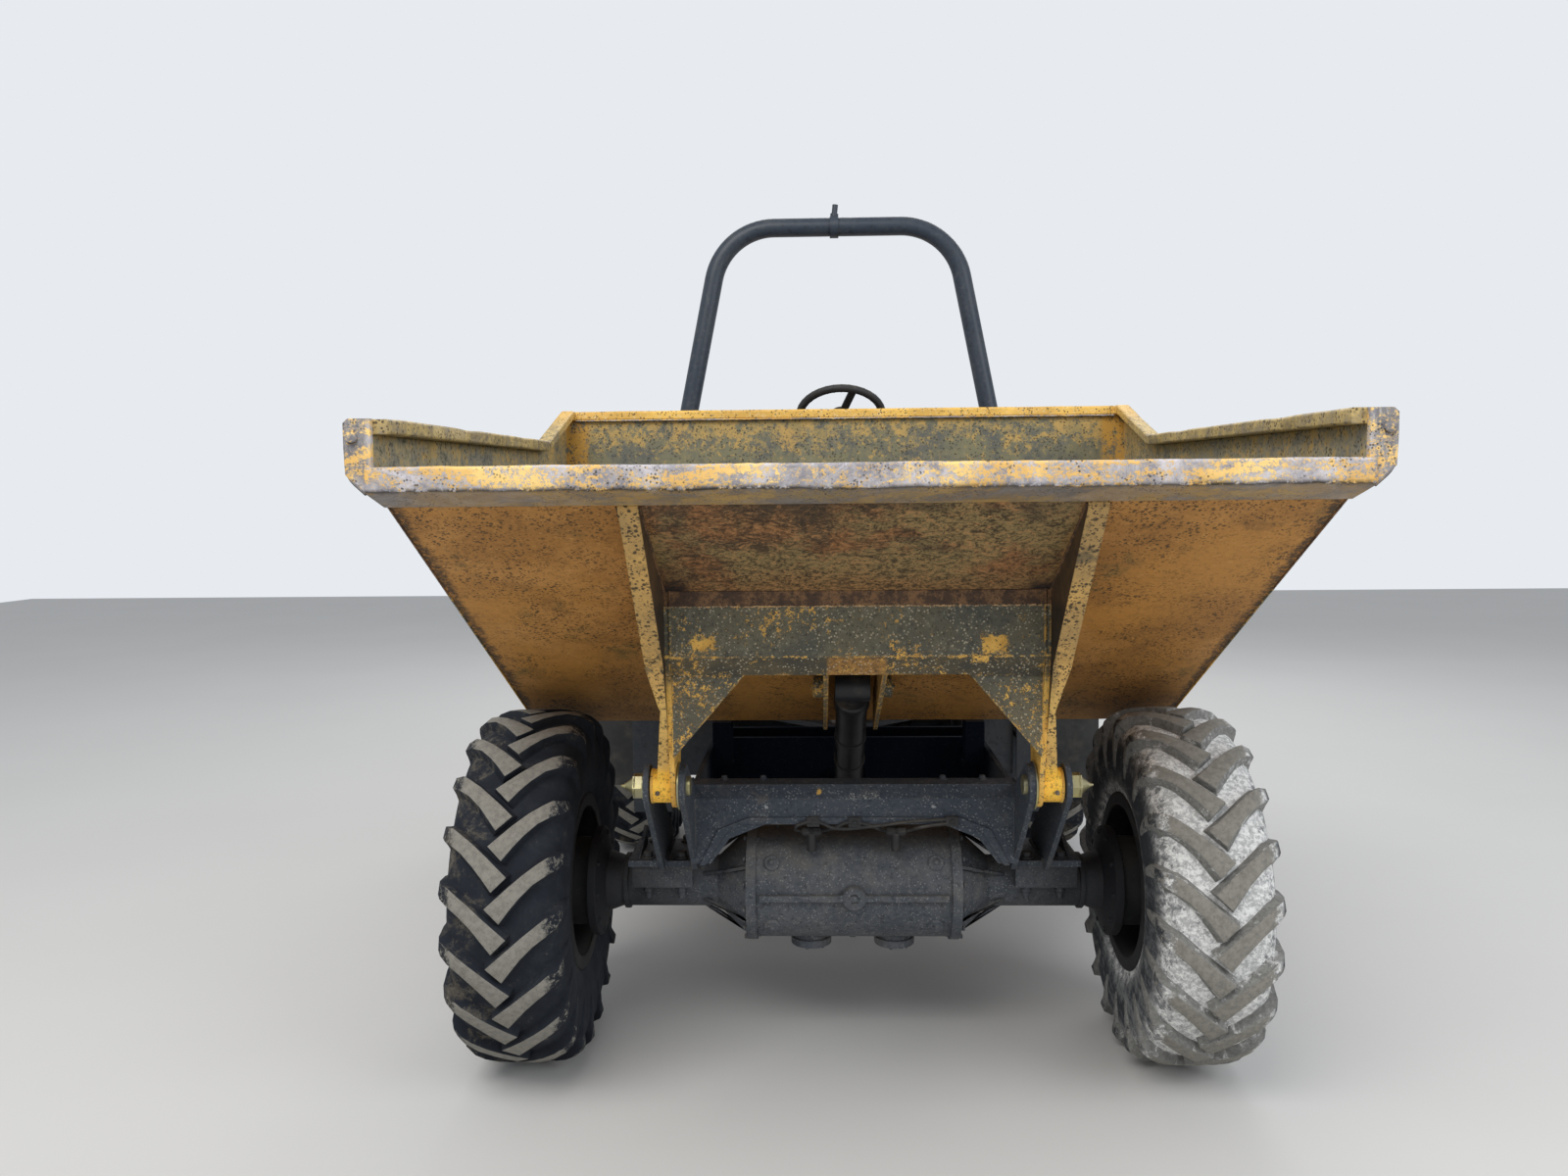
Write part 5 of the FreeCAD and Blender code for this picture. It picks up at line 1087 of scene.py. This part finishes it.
def ram_dressing(name, base, eye, barrel_r, rod_r, eye_r, width, gland, across, pipe_dir):
    """Gland ring, pipe, ports and pin heads of one ram, sizes in millimetres."""
    w = (eye - base).normalized()
    s = Shape()
    g = base + w * gland / 1000
    s.turned(g - w * 0.045, w,
             [(0, barrel_r - 1), (0, barrel_r + 5), (40, barrel_r + 5), (44.5, barrel_r + 1),
                                (45.5, rod_r + 6), (45.5, rod_r + 2), (44, rod_r + 2), (40, barrel_r - 4)],
                                40)
    for a in angles(3):
        d = spoke(*basis(w)[:2], a + 0.4)
        s.stack(g - w * 0.022 + d * (barrel_r + 3.5) / 1000, d, [(0, 5), (3, 5), (3.5, 4)], 8)
    n = (pipe_dir - w * pipe_dir.dot(w)).normalized()
    top = g - w * 0.075
    low = base + w * (barrel_r * 2 + 30) / 1000

    def off(point, out, along=0):
        return point + (n * (barrel_r + out) + w * along) / 1000

    for p in (top, low):
        s.stack(off(p, -6), n, [(0, 17), (16, 17), (18, 14)], 18)
        s.stack(off(p, 11), n, [(0, 12), (10, 12), (12, 9)], 6)
    s.tube([off(top, 12), off(top, 34), off(top, 34, -60), off(top, 12, -100), off(low, 12, 100),
            off(low, 30, 60), off(low, 30, 30)], 6)
    for t in (0.35, 0.68):
        at = top.lerp(low, t)
        s.turned(at, w, [(-10, barrel_r - 1), (-10, barrel_r + 3), (10, barrel_r + 3), (10, barrel_r - 1)],
                 36)
        s.block(off(at, 8), n, w, 22, 20, 22)
        s.bolt(off(at, 18), n, 5, 6, False)
    s.turned(base - across * width / 2000, across,
             [(-2, eye_r - 10), (-2, eye_r - 3), (1, eye_r - 3), (1, eye_r - 10)], 32)
    s.piece(name + "_barrel_dressing", name + "_barrel_body", "ram_black", "ram", bevel=0.8, sharp=32, seg=1)


def mud_flaps():
    """Rubber sheets hung from the mudguards' front edges, with their clamp strips."""
    inner, outer, top, low, front = 708, 1058, 862, 415, 1485
    sheet, clamp = Shape(), Shape()
    for side in (1, -1):
        rings = []
        for k in range(13):
            z = lerp(top, low, k / 12)
            sag = 5.0 * math.sin(k * 0.45)
            row = [(side * lerp(inner, outer, j / 8), front + sag + 4.0 * math.sin(j * 0.8 + side) * k / 12)
                   for j in range(9)]
            rings.append([P(x, y - 4, z) for x, y in row] + [P(x, y + 4, z) for x, y in reversed(row)])
        sheet.loft(rings)
        for y in (front - 12, front + 9):
            clamp.bar(P(side * (inner + 6), y, top - 34), P(side * (outer - 6), y + 3, top - 4))
        for j in range(5):
            clamp.bolt(P(side * lerp(inner + 30, outer - 30, j / 4), front - 11, top - 19), -Y, 8, 9)
    sheet.piece("mud_flaps", "rear_unit", "soft_rubber", "flap", sharp=50)
    clamp.piece("mud_flap_clamps", "rear_unit", "chassis_grey", "chassis", sharp=32)


def deck_dressing():
    """Tread bars on the deck and steps, hand rails' bolts, tank straps."""
    s = Shape()
    for j in range(15):
        y = 1140 + j * 40
        for i in range(-20, 21):
            x = i * 40 + (20 if j % 2 else 0)
            limit = 800 if y < 1520 else 672
            if abs(x) > limit or (abs(x) < 215 and y < 1300) or (abs(x) < 315 and y > 1490):
                continue
            lean = 1 if (i + j) % 2 else -1
            c = P(x, y, 1000)
            a, b = V((0.011, 0.011 * lean, 0)), V((0.0032, -0.0032 * lean, 0))
            s.loft([[c + d * size + Z * up for d in (a, b, -a, -b)] for size,
                    up in ((1, -0.0005), (0.7, 0.002))])
    for side in (1, -1):
        for z in (407, 687):
            for k in range(9):
                for x in range(684, 816, 22):
                    s.stack(P(side * x, 1200 + k * 30, z), Z, [(-0.5, 6), (3, 4.5), (3.2, 3)], 8)
        for x in (700, 790):
            for y in (1188, 1452):
                s.bolt(P(side * x, y, 1000.5), Z, 8, 6)
        s.weld(P(side * 664, 1190, 386), P(side * 664, 1450, 386), 3)
    s.piece("deck_tread", "rear_unit", "chassis_grey", "chassis", sharp=32)
    s = Shape()
    for side in (1, -1):
        out = X * side
        for y in (1250, 1470):
            for z0, z1, x0, x1 in ((518, 523, 470, 662), (957, 963, 470, 662), (520, 962, 658, 664)):
                s.bar(P(side * x0, y - 14, z0), P(side * x1, y + 14, z1))
            s.bolt(P(side * 664, y, 760), out, 8, 10)
        s.stack(P(side * 668, 1290, 880), out, [(-2, 43), (4, 43), (6, 40)], 32)
        cap = P(side * 672, 1290, 880)
        for a in angles(18):
            s.stack(cap + radial(a, 0.0405), out, [(0, 5.5), (20, 5.2), (22, 4)], 8)
        s.stack(cap, out, [(0, 40.5), (22, 40.5), (25, 37), (23.5, 30)], 36)
        s.stack(P(side * 560, 1380, 520), -Z, [(-3, 16), (6, 15), (12, 10)], 6)
    s.piece("tank_fittings", "rear_unit", "black_plastic", "plastic", sharp=32)


def seat_parts():
    """Padded cushion and back."""
    for node in ("seat_cushion", "seat_back"):
        mesh = NODES[node].data.copy()
        obj = add(node + "_padded", mesh)
        mesh.materials.clear()
        mesh.materials.append(MAT["vinyl"])
        centre = sum((v.co for v in mesh.vertices), V((0, 0, 0))) / len(mesh.vertices)
        for v in mesh.vertices:
            v.co = centre + (v.co - centre) * 0.955
        pad(obj, 0.014)
        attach(obj, "rear_unit")
        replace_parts(obj, node)


def pad(obj, cap):
    """Swell a closed form as stuffed fabric, with a limit to how far any point moves."""
    mod = obj.modifiers.new("mesh", "REMESH")
    mod.mode = "VOXEL"
    mod.voxel_size = 0.007
    bake(obj)
    start = [v.co.copy() for v in obj.data.vertices]
    cloth = obj.modifiers.new("cloth", "CLOTH").settings
    cloth.use_pressure = True
    cloth.uniform_pressure_force = 4.0
    cloth.effector_weights.gravity = 0.0
    cloth.quality = 4
    cloth.mass = 0.3
    cloth.tension_stiffness = 12
    cloth.bending_stiffness = 0.3
    for frame_no in range(1, 21):
        bpy.context.scene.frame_set(frame_no)
    bake(obj)
    bpy.context.scene.frame_set(1)
    for v, a in zip(obj.data.vertices, start):
        move = v.co - a
        if move.length > cap:
            v.co = a + move.normalized() * cap
    sub = obj.modifiers.new("smooth", "SUBSURF")
    sub.levels = sub.render_levels = 1
    bake(obj)
    obj.data.shade_smooth()


def wander(p, scale, seed):
    """Smooth unevenness between -1 and 1."""
    return noise.noise(V(p) * scale + V((seed * 7.3, seed * 3.1, seed)))


def dip(p, scale, seed, depth):
    """Hollows only, down to a depth."""
    return max(0.0, wander(p, scale, seed)) * depth


def worn_lip():
    """Folded lip with rolled edges and dents, and its corner ears with beaded rims."""
    s = Shape()
    back, front = FRONT - 0.975, FRONT - 1.0
    section = [(front + 0.004, 1.664), (front, 1.659), (front, 1.640), (front, 1.622), (front + 0.003, 1.613),
               (front + 0.010, 1.6085), (FRONT - 0.96, 1.600), (FRONT - 0.93, 1.592), (FRONT - 0.894, 1.5822),
               (FRONT - 0.8905, 1.596), (back, 1.612), (back, 1.664)]
    rings = []
    for i in range(141):
        x = lerp(-0.9995, 0.9995, i / 140)
        ring = []
        for k, (y, z) in enumerate(section):
            if k <= 6:
                y += dip((x, y * 2, z * 2), 3.2, 2, 0.007) + dip((x, y, z), 11, 5, 0.0035)
                dz = wander((x, 0, 0), 6, 3) * 0.0022
                if k <= 1:
                    dz -= dip((x, 0, 0), 28, 4, 0.003)
                if k >= 3:
                    dz += wander((x, 0, 0), 45, 6) * 0.0022
                z += dz
            ring.append((x, y, z))
        rings.append(ring)
    s.loft(rings)
    for side in (1, -1):
        outline = [(0.988, 1.610), (1.000, 1.610), (1.042, 1.648), (1.044, 1.700), (1.044, 1.752),
                   (1.034, 1.761),
                   (0.988, 1.761)]
        s.loft([[(side * x, back - d, z) for x, z in outline] for d in (0.0, 0.013)])
        s.tube([(side * x, back - y, z) for x, y, z in ((1.000, 0.007, 1.612), (1.037, 0.007, 1.646),
                                                         (1.0375, 0.008, 1.700), (1.0375, 0.007, 1.753))],
                                                         7.5)
    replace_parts(s.piece("worn_lip", "skip", "worn_steel", "lip", sharp=32), "skip_lip")


def worn_rim():
    """Capping with rounded edges and small dents along both sides and across the back."""
    s = Shape()
    path = [(-975, 1762), (470, 1790), (850, 1915), (920, 1915)]

    def top(y):
        for (y0, z0), (y1, z1) in zip(path, path[1:]):
            if y <= y1:
                return lerp(z0, z1, (y - y0) / (y1 - y0))
        return path[-1][1]

    stations = {*range(-975, 451, 25), *range(470, 846, 25), 455, 470, 485, 500, 838, 850, 862, 920}
    section = ((956, -4), (960, 0), (996, 0), (1002, -5), (1002, -27), (997, -32), (959, -32), (956, -28))
    for side in (1, -1):
        rings = []
        for y in sorted(stations):
            ring = []
            for k, (x, dz) in enumerate(section):
                dent = dip((side, y / 1000, dz), 4.0, 9, 3.0)
                low = dip((side, y / 1000, 0), 5.5, 8, 4) if k < 4 else 0.0
                x += dent if k in (0, 7) else -dent if k in (3, 4) else 0
                ring.append(P(side * x, y, top(y) + dz - low))
            rings.append(ring)
        s.loft(rings)
    section = ((876, 1887), (876, 1909), (881, 1915), (915, 1915), (920, 1910), (920, 1884), (880, 1883))
    rings = []
    for i in range(81):
        x = lerp(-957, 957, i / 80)
        ring = []
        for k, (y, z) in enumerate(section):
            low = dip((x / 1000, 0, 0), 4.5, 12, 3.5) if 0 < k < 5 else 0.0
            ring.append(P(x, y + (low if k < 2 else 0), z - low))
        rings.append(ring)
    s.loft(rings)
    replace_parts(s.piece("worn_rim", "skip", "skip_yellow", "rim", sharp=34), "skip_rim")


def brake_lines():
    """Rigid brake pipes with their unions and clips, over the front axle's housing and along the beam."""
    s = Shape()
    nut = [(0, 9), (4, 12.5), (24, 12.5), (26, 9.5), (31, 9.5), (33, 12.5), (53, 12.5), (57, 9)]
    for side in (1, -1):
        s.stack(P(side * 116, -136, 624), (0, -0.25, 1), [(0, 13), (52, 13), (55, 9)], 14)
        s.stack(P(side * 116 - 28.5, -150, 681), X, nut, 6)
    for line in (
        [(-144, -150, 681), (-162, -160, 688), (-158, -188, 706), (-130, -190, 717), (-92, -189, 717),
         (-58, -189, 699), (-24, -189, 697), (60, -189, 705), (150, -189, 718), (266, -186, 723)],
        [(88, -150, 681), (74, -168, 690), (62, -187, 699), (24, -189, 714), (-20, -189, 717),
         (-46, -188, 703),
         (-70, -168, 690), (-88, -150, 681)],
        [(144, -150, 681), (160, -164, 688), (172, -187, 700), (215, -189, 708), (266, -186, 712)],
    ):
        s.tube([P(*q) for q in line], 4.8, 8)
    for x, z in ((-111, 717), (266, 718), (2, 716)):
        s.block(P(x, -184, z), -Y, X, 34, 26, 14)
        s.bolt(P(x, -190, z), -Y, 6, 5, False)
    s.piece("brake_lines", "front_unit", "black_plastic", "plastic", sharp=34)


def hood_dressing():
    """Louvres, latches, handle, hinge bolts and seams on the lifting cover."""
    s = Shape()
    for side in (1, -1):
        for start, count, heights in ((2100, 11, (1130, 1290)), (2130, 9, (890, 1010))):
            for j in range(count):
                slat = ((439, 0), (439, 20), (449, 16), (447, 2))
                s.loft([[P(side * x, start + j * 32 + dy, z) for x, dy in slat] for z in heights])
        seam = ((2010, 1050), (2864, 1050), (2864, 1062), (2010, 1062))
        s.loft([[P(side * x, y, z) for y, z in seam] for x in (439.5, 443)])
        for y in (2018, 2088):
            s.bolt(P(side * 352, y, 1400), Z, 7, 6)
    s.loft([[P(x, y, z) for x,
             y in ((-300, 2040), (300, 2040), (280, 2660), (-280, 2660))] for z in (1399, 1405)])
    s.piece("hood_panels", "engine_hood_body", "body_yellow", "yellow", bevel=2, sharp=32)
    s = Shape()
    for side in (1, -1):
        s.block(P(side * 446, 2790, 880), X, Z, 110, 34, 12)
        s.block(P(side * 455, 2790, 850), X, Z, 40, 20, 14)
        s.block(P(side * 446, 2060, 1210), X, Z, 50, 40, 6)
    s.tube([P(x, y, 1312) for x, y in ((-90, 2873), (-90, 2893), (90, 2893), (90, 2873))], 9, 12)
    for x in (-90, 90):
        s.stack(P(x, 2872, 1312), Y, [(0, 18), (6, 18), (8, 14)])
    for x in (-312, 312):
        for z in (892, 1044, 1196):
            s.bolt(P(x, 2873, z), Y, 6, 6)
    s.piece("hood_fittings", "engine_hood_body", "black_plastic", "plastic", bevel=1.5, sharp=32)


def engine_dressing():
    """Covers, manifold, filter, pipes and fan around the plain engine."""
    s = Shape()
    s.loft([[P(x, y, z) for x,
             y in ((i - 90, 2250 + i), (90 - i, 2250 + i), (90 - i, 2690 - i), (i - 90, 2690 - i))]
            for i, z in ((0, 1278), (0, 1310), (10, 1328), (22, 1334))])
    for k in range(4):
        s.stack(P(0, 2300 + k * 110, 1332), Z, [(0, 16), (8, 16), (10, 12)], 6)
    for side in (1, -1):
        for y in range(2230, 2675, 74):
            s.bar(P(side * 219, y, 830), P(side * 232, y + 14, 1240))
        for z0, z1 in ((1236, 1262), (835, 855)):
            s.bar(P(side * 219, 2205, z0), P(side * 236, 2738, z1))
    s.stack(P(-140, 2690, 1262), Z, [(0, 45), (30, 45), (36, 20), (60, 18)], 20)
    s.stack(P(0, 2741, 1010), Y, [(-2, 175), (10, 175), (14, 165), (14, 150), (6, 145)], 48)
    for a in angles(7):
        d, e = spoke(X, Z, a), spoke(X, Z, a + math.pi / 2)
        blade = ((0.03, -0.018, 0.014), (0.135, -0.034, 0.014), (0.135, 0.034, 0.0), (0.03, 0.018, 0.0))
        s.loft([[P(0, 2750, 1010) + d * r + e * w + Y * (twist + thick) for r, w, twist in blade]
                for thick in (0.0, 0.004)])
    s.stack(P(0, 2744, 1010), Y, [(0, 40), (30, 40), (34, 30)], 24)
    s.piece("engine_covers", "rear_unit", "engine_grey", "engine", bevel=2, sharp=34, seg=1)
    s = Shape()
    for y in (2290, 2420, 2550):
        s.tube([P(-219, y, 1170), P(-262, y, 1172), P(-268, y + 60, 1176)], 24, 12)
    s.stack(P(-270, 2270, 1176), Y, [(0, 26), (30, 30), (360, 30), (380, 22)], 18)
    s.piece("exhaust_manifold", "rear_unit", "exhaust_steel", "exhaust", sharp=34)
    s = Shape()
    s.stack(P(310, 2330, 1235), Y, [(0, 50), (6, 68), (235, 68), (238, 72), (262, 72), (268, 60)], 32)
    for line, r, seg in (
        ([(310, 2598, 1235), (310, 2660, 1235), (240, 2690, 1250), (120, 2660, 1300)], 28, 14),
        ([(230, 2240, 905), (300, 2240, 905), (330, 2280, 960), (330, 2400, 1000), (232, 2440, 1020)], 11,
         10),
        ([(-230, 2260, 900), (-280, 2280, 905), (-320, 2350, 930), (-232, 2420, 960)], 9, 10),
    ):
        s.tube([P(*q) for q in line], r, seg)
    s.stack(P(255, 2560, 905), Z, [(0, 40), (4, 45), (110, 45), (120, 30)], 24)
    s.piece("engine_hoses", "rear_unit", "black_plastic", "rubber", sharp=34)


def cab_dressing():
    """Dials, switches, gaiters, pedal pads, seat fittings and the belt's buckle stalks."""
    s = Shape()
    slope = V((0, 0.36, 0.93)).normalized()
    up_dash = slope.cross(X)
    dials = ((-95, 0.6), (0, -0.4), (95, 1.2))      # place across, turn of the needle

    def dash(x, y, out=0.0):
        return P(x, 1280 + y, 1760 - (y + 130) * 35 / 90) + slope * out / 1000

    for x, _ in dials:
        s.stack(dash(x, -84, -4), slope, [(0, 37), (12, 37), (14, 34), (14.5, 31), (9, 30)], 32)
    for x in (-150, -125, 125, 150):
        s.stack(dash(x, -60, -2), slope, [(0, 9), (7, 9), (9, 6)], 14)
    for x in (-48, 48):
        s.block(dash(x, -68, 3), slope, X, 22, 34, 10)
        s.block(dash(x, -70, 8), slope, X, 14, 20, 8)
    for x in (215, 250):
        s.stack(P(x, 1250, 1489), (0, 0.14, 1),
                [(0, 24), (8, 24), (10, 18), (16, 21), (20, 15), (26, 18), (30, 12),
                                                 (36, 14), (42, 9)], 20)
    for x, z in ((215, 1666), (250, 1646)):
        s.stack(P(x, 1280, z), Z, [(0, 10), (8, 18.5), (22, 22.5), (36, 20.5), (46, 12), (49, 4)], 20)
    for side in (1, -1):
        s.bar(P(side * 186, 1135, 1100), P(side * 192.5, 1240, 1640))
    for z in range(1080, 1531, 90):
        s.bar(P(-170, 1122, z), P(170, 1127, z + 12))
    s.stack(P(0, 1162, 1755), (0, 0.5878, 0.809),
            [(-20, 50), (8, 48), (12, 38), (22, 42), (30, 34), (40, 38), (50, 29)],
            28)
    for x in (-110, 120):
        for k in range(5):
            s.block(P(x, 1340 + k * 13, 1066 - k * 11.5), (0, 0.64, 0.77), X, 72, 6, 6)
    for side in (1, -1):
        s.bar(P(side * 225, 1500, 1400), P(side * 245, 1880, 1426))
        s.block(P(side * 262, 1860, 1452), X, Z, 100, 50, 22)
        for y in (1560, 1920):
            for z in (1330, 1130):
                s.bolt(P(side * 300, y, z), X * side, 8, 8)
    for z in range(1140, 1309, 28):
        s.bar(P(-200, 1496, z), P(200, 1501, z + 12))
    s.piece("cab_fittings", "rear_unit", "black_plastic", "plastic", bevel=1.2, sharp=34, seg=1)
    s = Shape()
    for x, _ in dials:
        s.stack(dash(x, -84, 8.5), slope, [(0, 29.8), (0.8, 29.8)], 32)
    s.piece("dial_faces", "rear_unit", "black_plastic", "dial", sharp=34)
    s = Shape()
    for x, turn in dials:
        c = dash(x, -84, 9.8)
        for k in range(11):
            d = spoke(X, up_dash, -0.7 + k * (math.pi + 1.4) / 10)
            s.block(c + d * 0.024, slope, d, 5 if k % 2 else 8, 1.2, 0.8)
        d = spoke(X, up_dash, turn)
        s.block(c + d * 0.009 + slope * 0.001, slope, d, 26, 2, 0.8)
        s.stack(c, slope, [(0, 3.5), (3, 3)], 12)
    s.stack(dash(170, -100), slope, [(0, 12), (4, 12), (6, 9)], 18)
    s.block(dash(170, -100, 14), X, slope, 26, 14, 4)
    for side in (1, -1):
        s.block(P(side * 262, 1846, 1500), X, Z, 50, 46, 12)
    s.piece("dial_marks", "rear_unit", "zinc", "mark", sharp=34)
    s = Shape()
    c, w = P(0, 1280, 1919), V((0, 0.587785, 0.809017))
    s.stack(c - w * 0.004, w, [(0, 38.5), (16, 38.5), (22, 34), (26, 22), (27, 8)], 32)
    for a in angles(36):
        d = spoke(X, w.cross(X), a)
        s.turned(c + d * 0.160, w.cross(d), [(-4, 14.3), (-2, 15.8), (2, 15.8), (4, 14.3)], 12)
    s.piece("steering_grip", "steering_wheel_body", "black_plastic", "plastic", sharp=34)


def body_dressing():
    """Guard edges, hoop fixings, bumper bolts, lamps, pivot fixings, exhaust clamps and welds behind."""
    s = Shape()
    inner, outer = 703, 1060.5
    for side in (1, -1):
        line = ((1485, 844), (1615, 1076), (2575, 1076), (2705, 864))
        for x in (inner, outer):
            s.tube([P(side * x, y, z) for y, z in line], 7, 8, 5)
        for y in (1760, 2100, 2495):
            s.bolt(P(side * 730, y, 1078), Z, 8, 7)
        for end in (line[0], line[-1]):
            s.tube([P(side * inner, *end), P(side * outer, *end)], 7, 8)
    s.piece("guard_edges", "rear_unit", "body_yellow", "yellow", sharp=34)
    s = Shape()
    for side in (1, -1):
        c = P(side * 704, 1800, 1094)
        for dx in (-60, 60):
            for dy in (-60, 60):
                at = P(side * 704 + dx, 1800 + dy, 1094)
                s.stack(at, Z, [(-1, 19), (3, 19), (3.5, 17)])
                s.stack(at, Z, [(3, 14), (16, 14), (18, 11.5)], 6, random.random())
                s.stack(at, Z, [(16, 9), (26, 9), (28, 7)], 12)
        for d in (X, -X, Y, -Y):
            t = V((d.y, d.x, 0)) * 0.004
            web = [c + d * 0.037, c + d * 0.070, c + d * 0.037 + Z * 0.075]
            s.loft([[q + t for q in web], [q - t for q in web]])
        s.turned(c, Z, [(0, 38), (0, 45), (4, 43), (6, 38)], 32)
        s.tube([P(side * x, 1800, z) for x, z in ((668, 1480), (624, 1480), (624, 1640), (668, 1640))], 10,
               12)
    beacon = P(-14, 1800, 2758)
    s.turned(beacon, X, [(-18, 44.5), (-18, 46.5), (18, 46.5), (18, 44.5)], 36)
    s.block(P(-14, 1852, 2758), Y, X, 30, 16, 18)
    s.bolt(P(-14, 1861, 2758), Y, 6, 8, False)
    s.piece("hoop_fixings", "rear_unit", "rops_slate", "rops", sharp=34)
    s = Shape()
    rear = 2892
    for side in (1, -1):
        for x in (560, 380):
            for z in (740, 520):
                s.bolt(P(side * x, rear, z), Y, 12, 12)
        for z in (632, 508):
            s.bolt(P(side * 70, 2908, z), Y, 11, 12)
        s.weld(P(side * 46, 2909, 515), P(side * 46, 2909, 531), 4)
        for y in (1420, 1660, 2300, 2600):
            s.bolt(P(side * 450, y, 760), X * side, 10, 11)
        for y in (1740, 1860):
            for z in (720, 900):
                s.bolt(P(side * 468, y, z), X * side, 10, 12)
    for z, d in ((774, Z), (426, -Z)):
        for a in (0.5, 2.6, 4.7):
            s.bolt(P(0, 1050, z) + spoke(X, Y, a) * 0.0432, d, 8, 9, False)
        s.stack(P(0, 1050, z) + d * 0.013, d, [(0, 8), (4, 8), (5, 4), (10, 4), (11, 2)], 10)
    for z, d in ((650, Z), (550, -Z)):
        s.stack(P(270, 1720, z), d, [(-1, 22), (6, 22), (8, 19)], 20)
    for z in range(1100, 1405, 38):
        s.turned(P(-515, 2500, z), Z, [(-4, 55), (-4, 58), (4, 58), (4, 55)], 28)
    s.piece("rear_fixings", "rear_unit", "chassis_grey", "chassis", sharp=34)
    s = Shape()
    for side in (1, -1):
        s.loft([[P(side * x, y, z) for x,
                 z in ((636 + d, 672 + d), (754 - d, 672 + d), (754 - d, 768 - d), (636 + d, 768 - d))]
                for y, d in ((2908, 0), (2914, 2))])
        for k in range(3):
            s.bar(P(side * 642, 2899, 684 + k * 27.5), P(side * 748, 2919, 706 + k * 27.5))
    s.piece("lamp_lenses", "rear_unit", "lamp_red", "lens", bevel=2, sharp=34)
    s = Shape()
    for side in (1, -1):
        s.stack(P(side * 480, rear, 630), Y, [(-1, 36), (5, 36), (8, 30)], 28)
    s.piece("rear_reflectors", "rear_unit", "lamp_red", "lens", sharp=34)


# Light, floor and camera

def area(name, at, target, size, power, colour=(1, 1, 1)):
    light = bpy.data.lights.new(name, "AREA")
    light.shape = "RECTANGLE"
    light.size, light.size_y = size
    light.energy = power
    light.color = colour
    obj = add(name, light)
    obj.location = at
    obj.rotation_euler = (V(target) - V(at)).to_track_quat("-Z", "Y").to_euler()


def stage():
    """Pale floor, even sky and three soft lamps."""
    n = Nodes("pale_floor")
    floor = n.finish(n.mix(n.noise(0.8, 4, 0.5), (0.60, 0.59, 0.57), (0.64, 0.63, 0.61)), 0.85, 0.0, None,
                     0.2)
    s = Shape()
    s.bm.faces.new(s.ring([(-14, -11, 0), (14, -11, 0), (14, 16, 0), (-14, 16, 0)]))
    mesh = bpy.data.meshes.new("floor")
    s.bm.to_mesh(mesh)
    s.bm.free()
    obj = add("floor", mesh)
    mesh.materials.append(floor)
    world = bpy.data.worlds.new("studio")
    bpy.context.scene.world = world
    world.use_nodes = True
    t = world.node_tree
    t.nodes.clear()
    ray = t.nodes.new("ShaderNodeLightPath")
    mix = t.nodes.new("ShaderNodeMixShader")
    t.links.new(ray.outputs["Is Camera Ray"], mix.inputs[0])
    for i, (colour, strength) in enumerate((((0.86, 0.90, 0.96, 1), 0.62), ((0.80, 0.83, 0.87, 1), 1.0)), 1):
        sky = t.nodes.new("ShaderNodeBackground")
        sky.inputs[0].default_value = colour
        sky.inputs[1].default_value = strength
        t.links.new(sky.outputs[0], mix.inputs[i])
    t.links.new(mix.outputs[0], t.nodes.new("ShaderNodeOutputWorld").inputs[0])
    area("key", (-2.5, -5.0, 6.5), (0, 0, 0.9), (5, 4), 330, (1.0, 0.985, 0.96))
    area("fill", (4.5, -4.0, 3.5), (0, -0.5, 0.8), (4, 3), 120, (0.93, 0.96, 1.0))
    area("back", (1.0, 6.0, 6.0), (0, 0.5, 1.0), (6, 3), 200)


def camera():
    """Camera solved from the tyres and the horizon."""
    cam = bpy.data.cameras.new("camera")
    cam.lens = 27.0
    cam.sensor_width = 36.0
    cam.sensor_fit = "HORIZONTAL"
    cam.clip_end = 100
    obj = add("camera", cam)
    right = V((0.99956, 0.028227, -0.009101))
    up = V((0.007015, 0.073122, 0.997298))
    ahead = V((-0.028817, 0.996923, -0.072892))
    place = V((-0.09376, FRONT - 3.33632, 1.58636))
    obj.matrix_world = Matrix.Translation(place) @ Matrix((right, up, -ahead)).transposed().to_4x4()
    bpy.context.scene.camera = obj


for seed, (corner, side, y) in enumerate(WHEELS, 3):
    tyre(corner, side, y, "tyre_grey" if corner == "front_left" else "tyre_black", seed)
for corner, side, y in WHEELS:
    wheel_dressing(corner + "_wheel", side, y)
axle_dressing("front_axle_dressing", "front_unit", FRONT, 1)
axle_dressing("rear_unit_axle_dressing", "rear_unit", REAR, -1)
front_frame_dressing()
skip_dressing()
ram_dressing("tip_ram", TIP_BASE, TIP_EYE, 45, 24, 42, 96, 695, X, V((0, -0.6, 0.8)))
ram_dressing("steer_ram", STEER_BASE, STEER_EYE, 34, 18, 32, 44, 638, Z, V((1, 0, 0.3)))
mud_flaps()
worn_lip()
worn_rim()
brake_lines()
hood_dressing()
engine_dressing()
cab_dressing()
body_dressing()
deck_dressing()
seat_parts()
stage()
camera()
scene = bpy.context.scene
scene.view_settings.view_transform = "Standard"
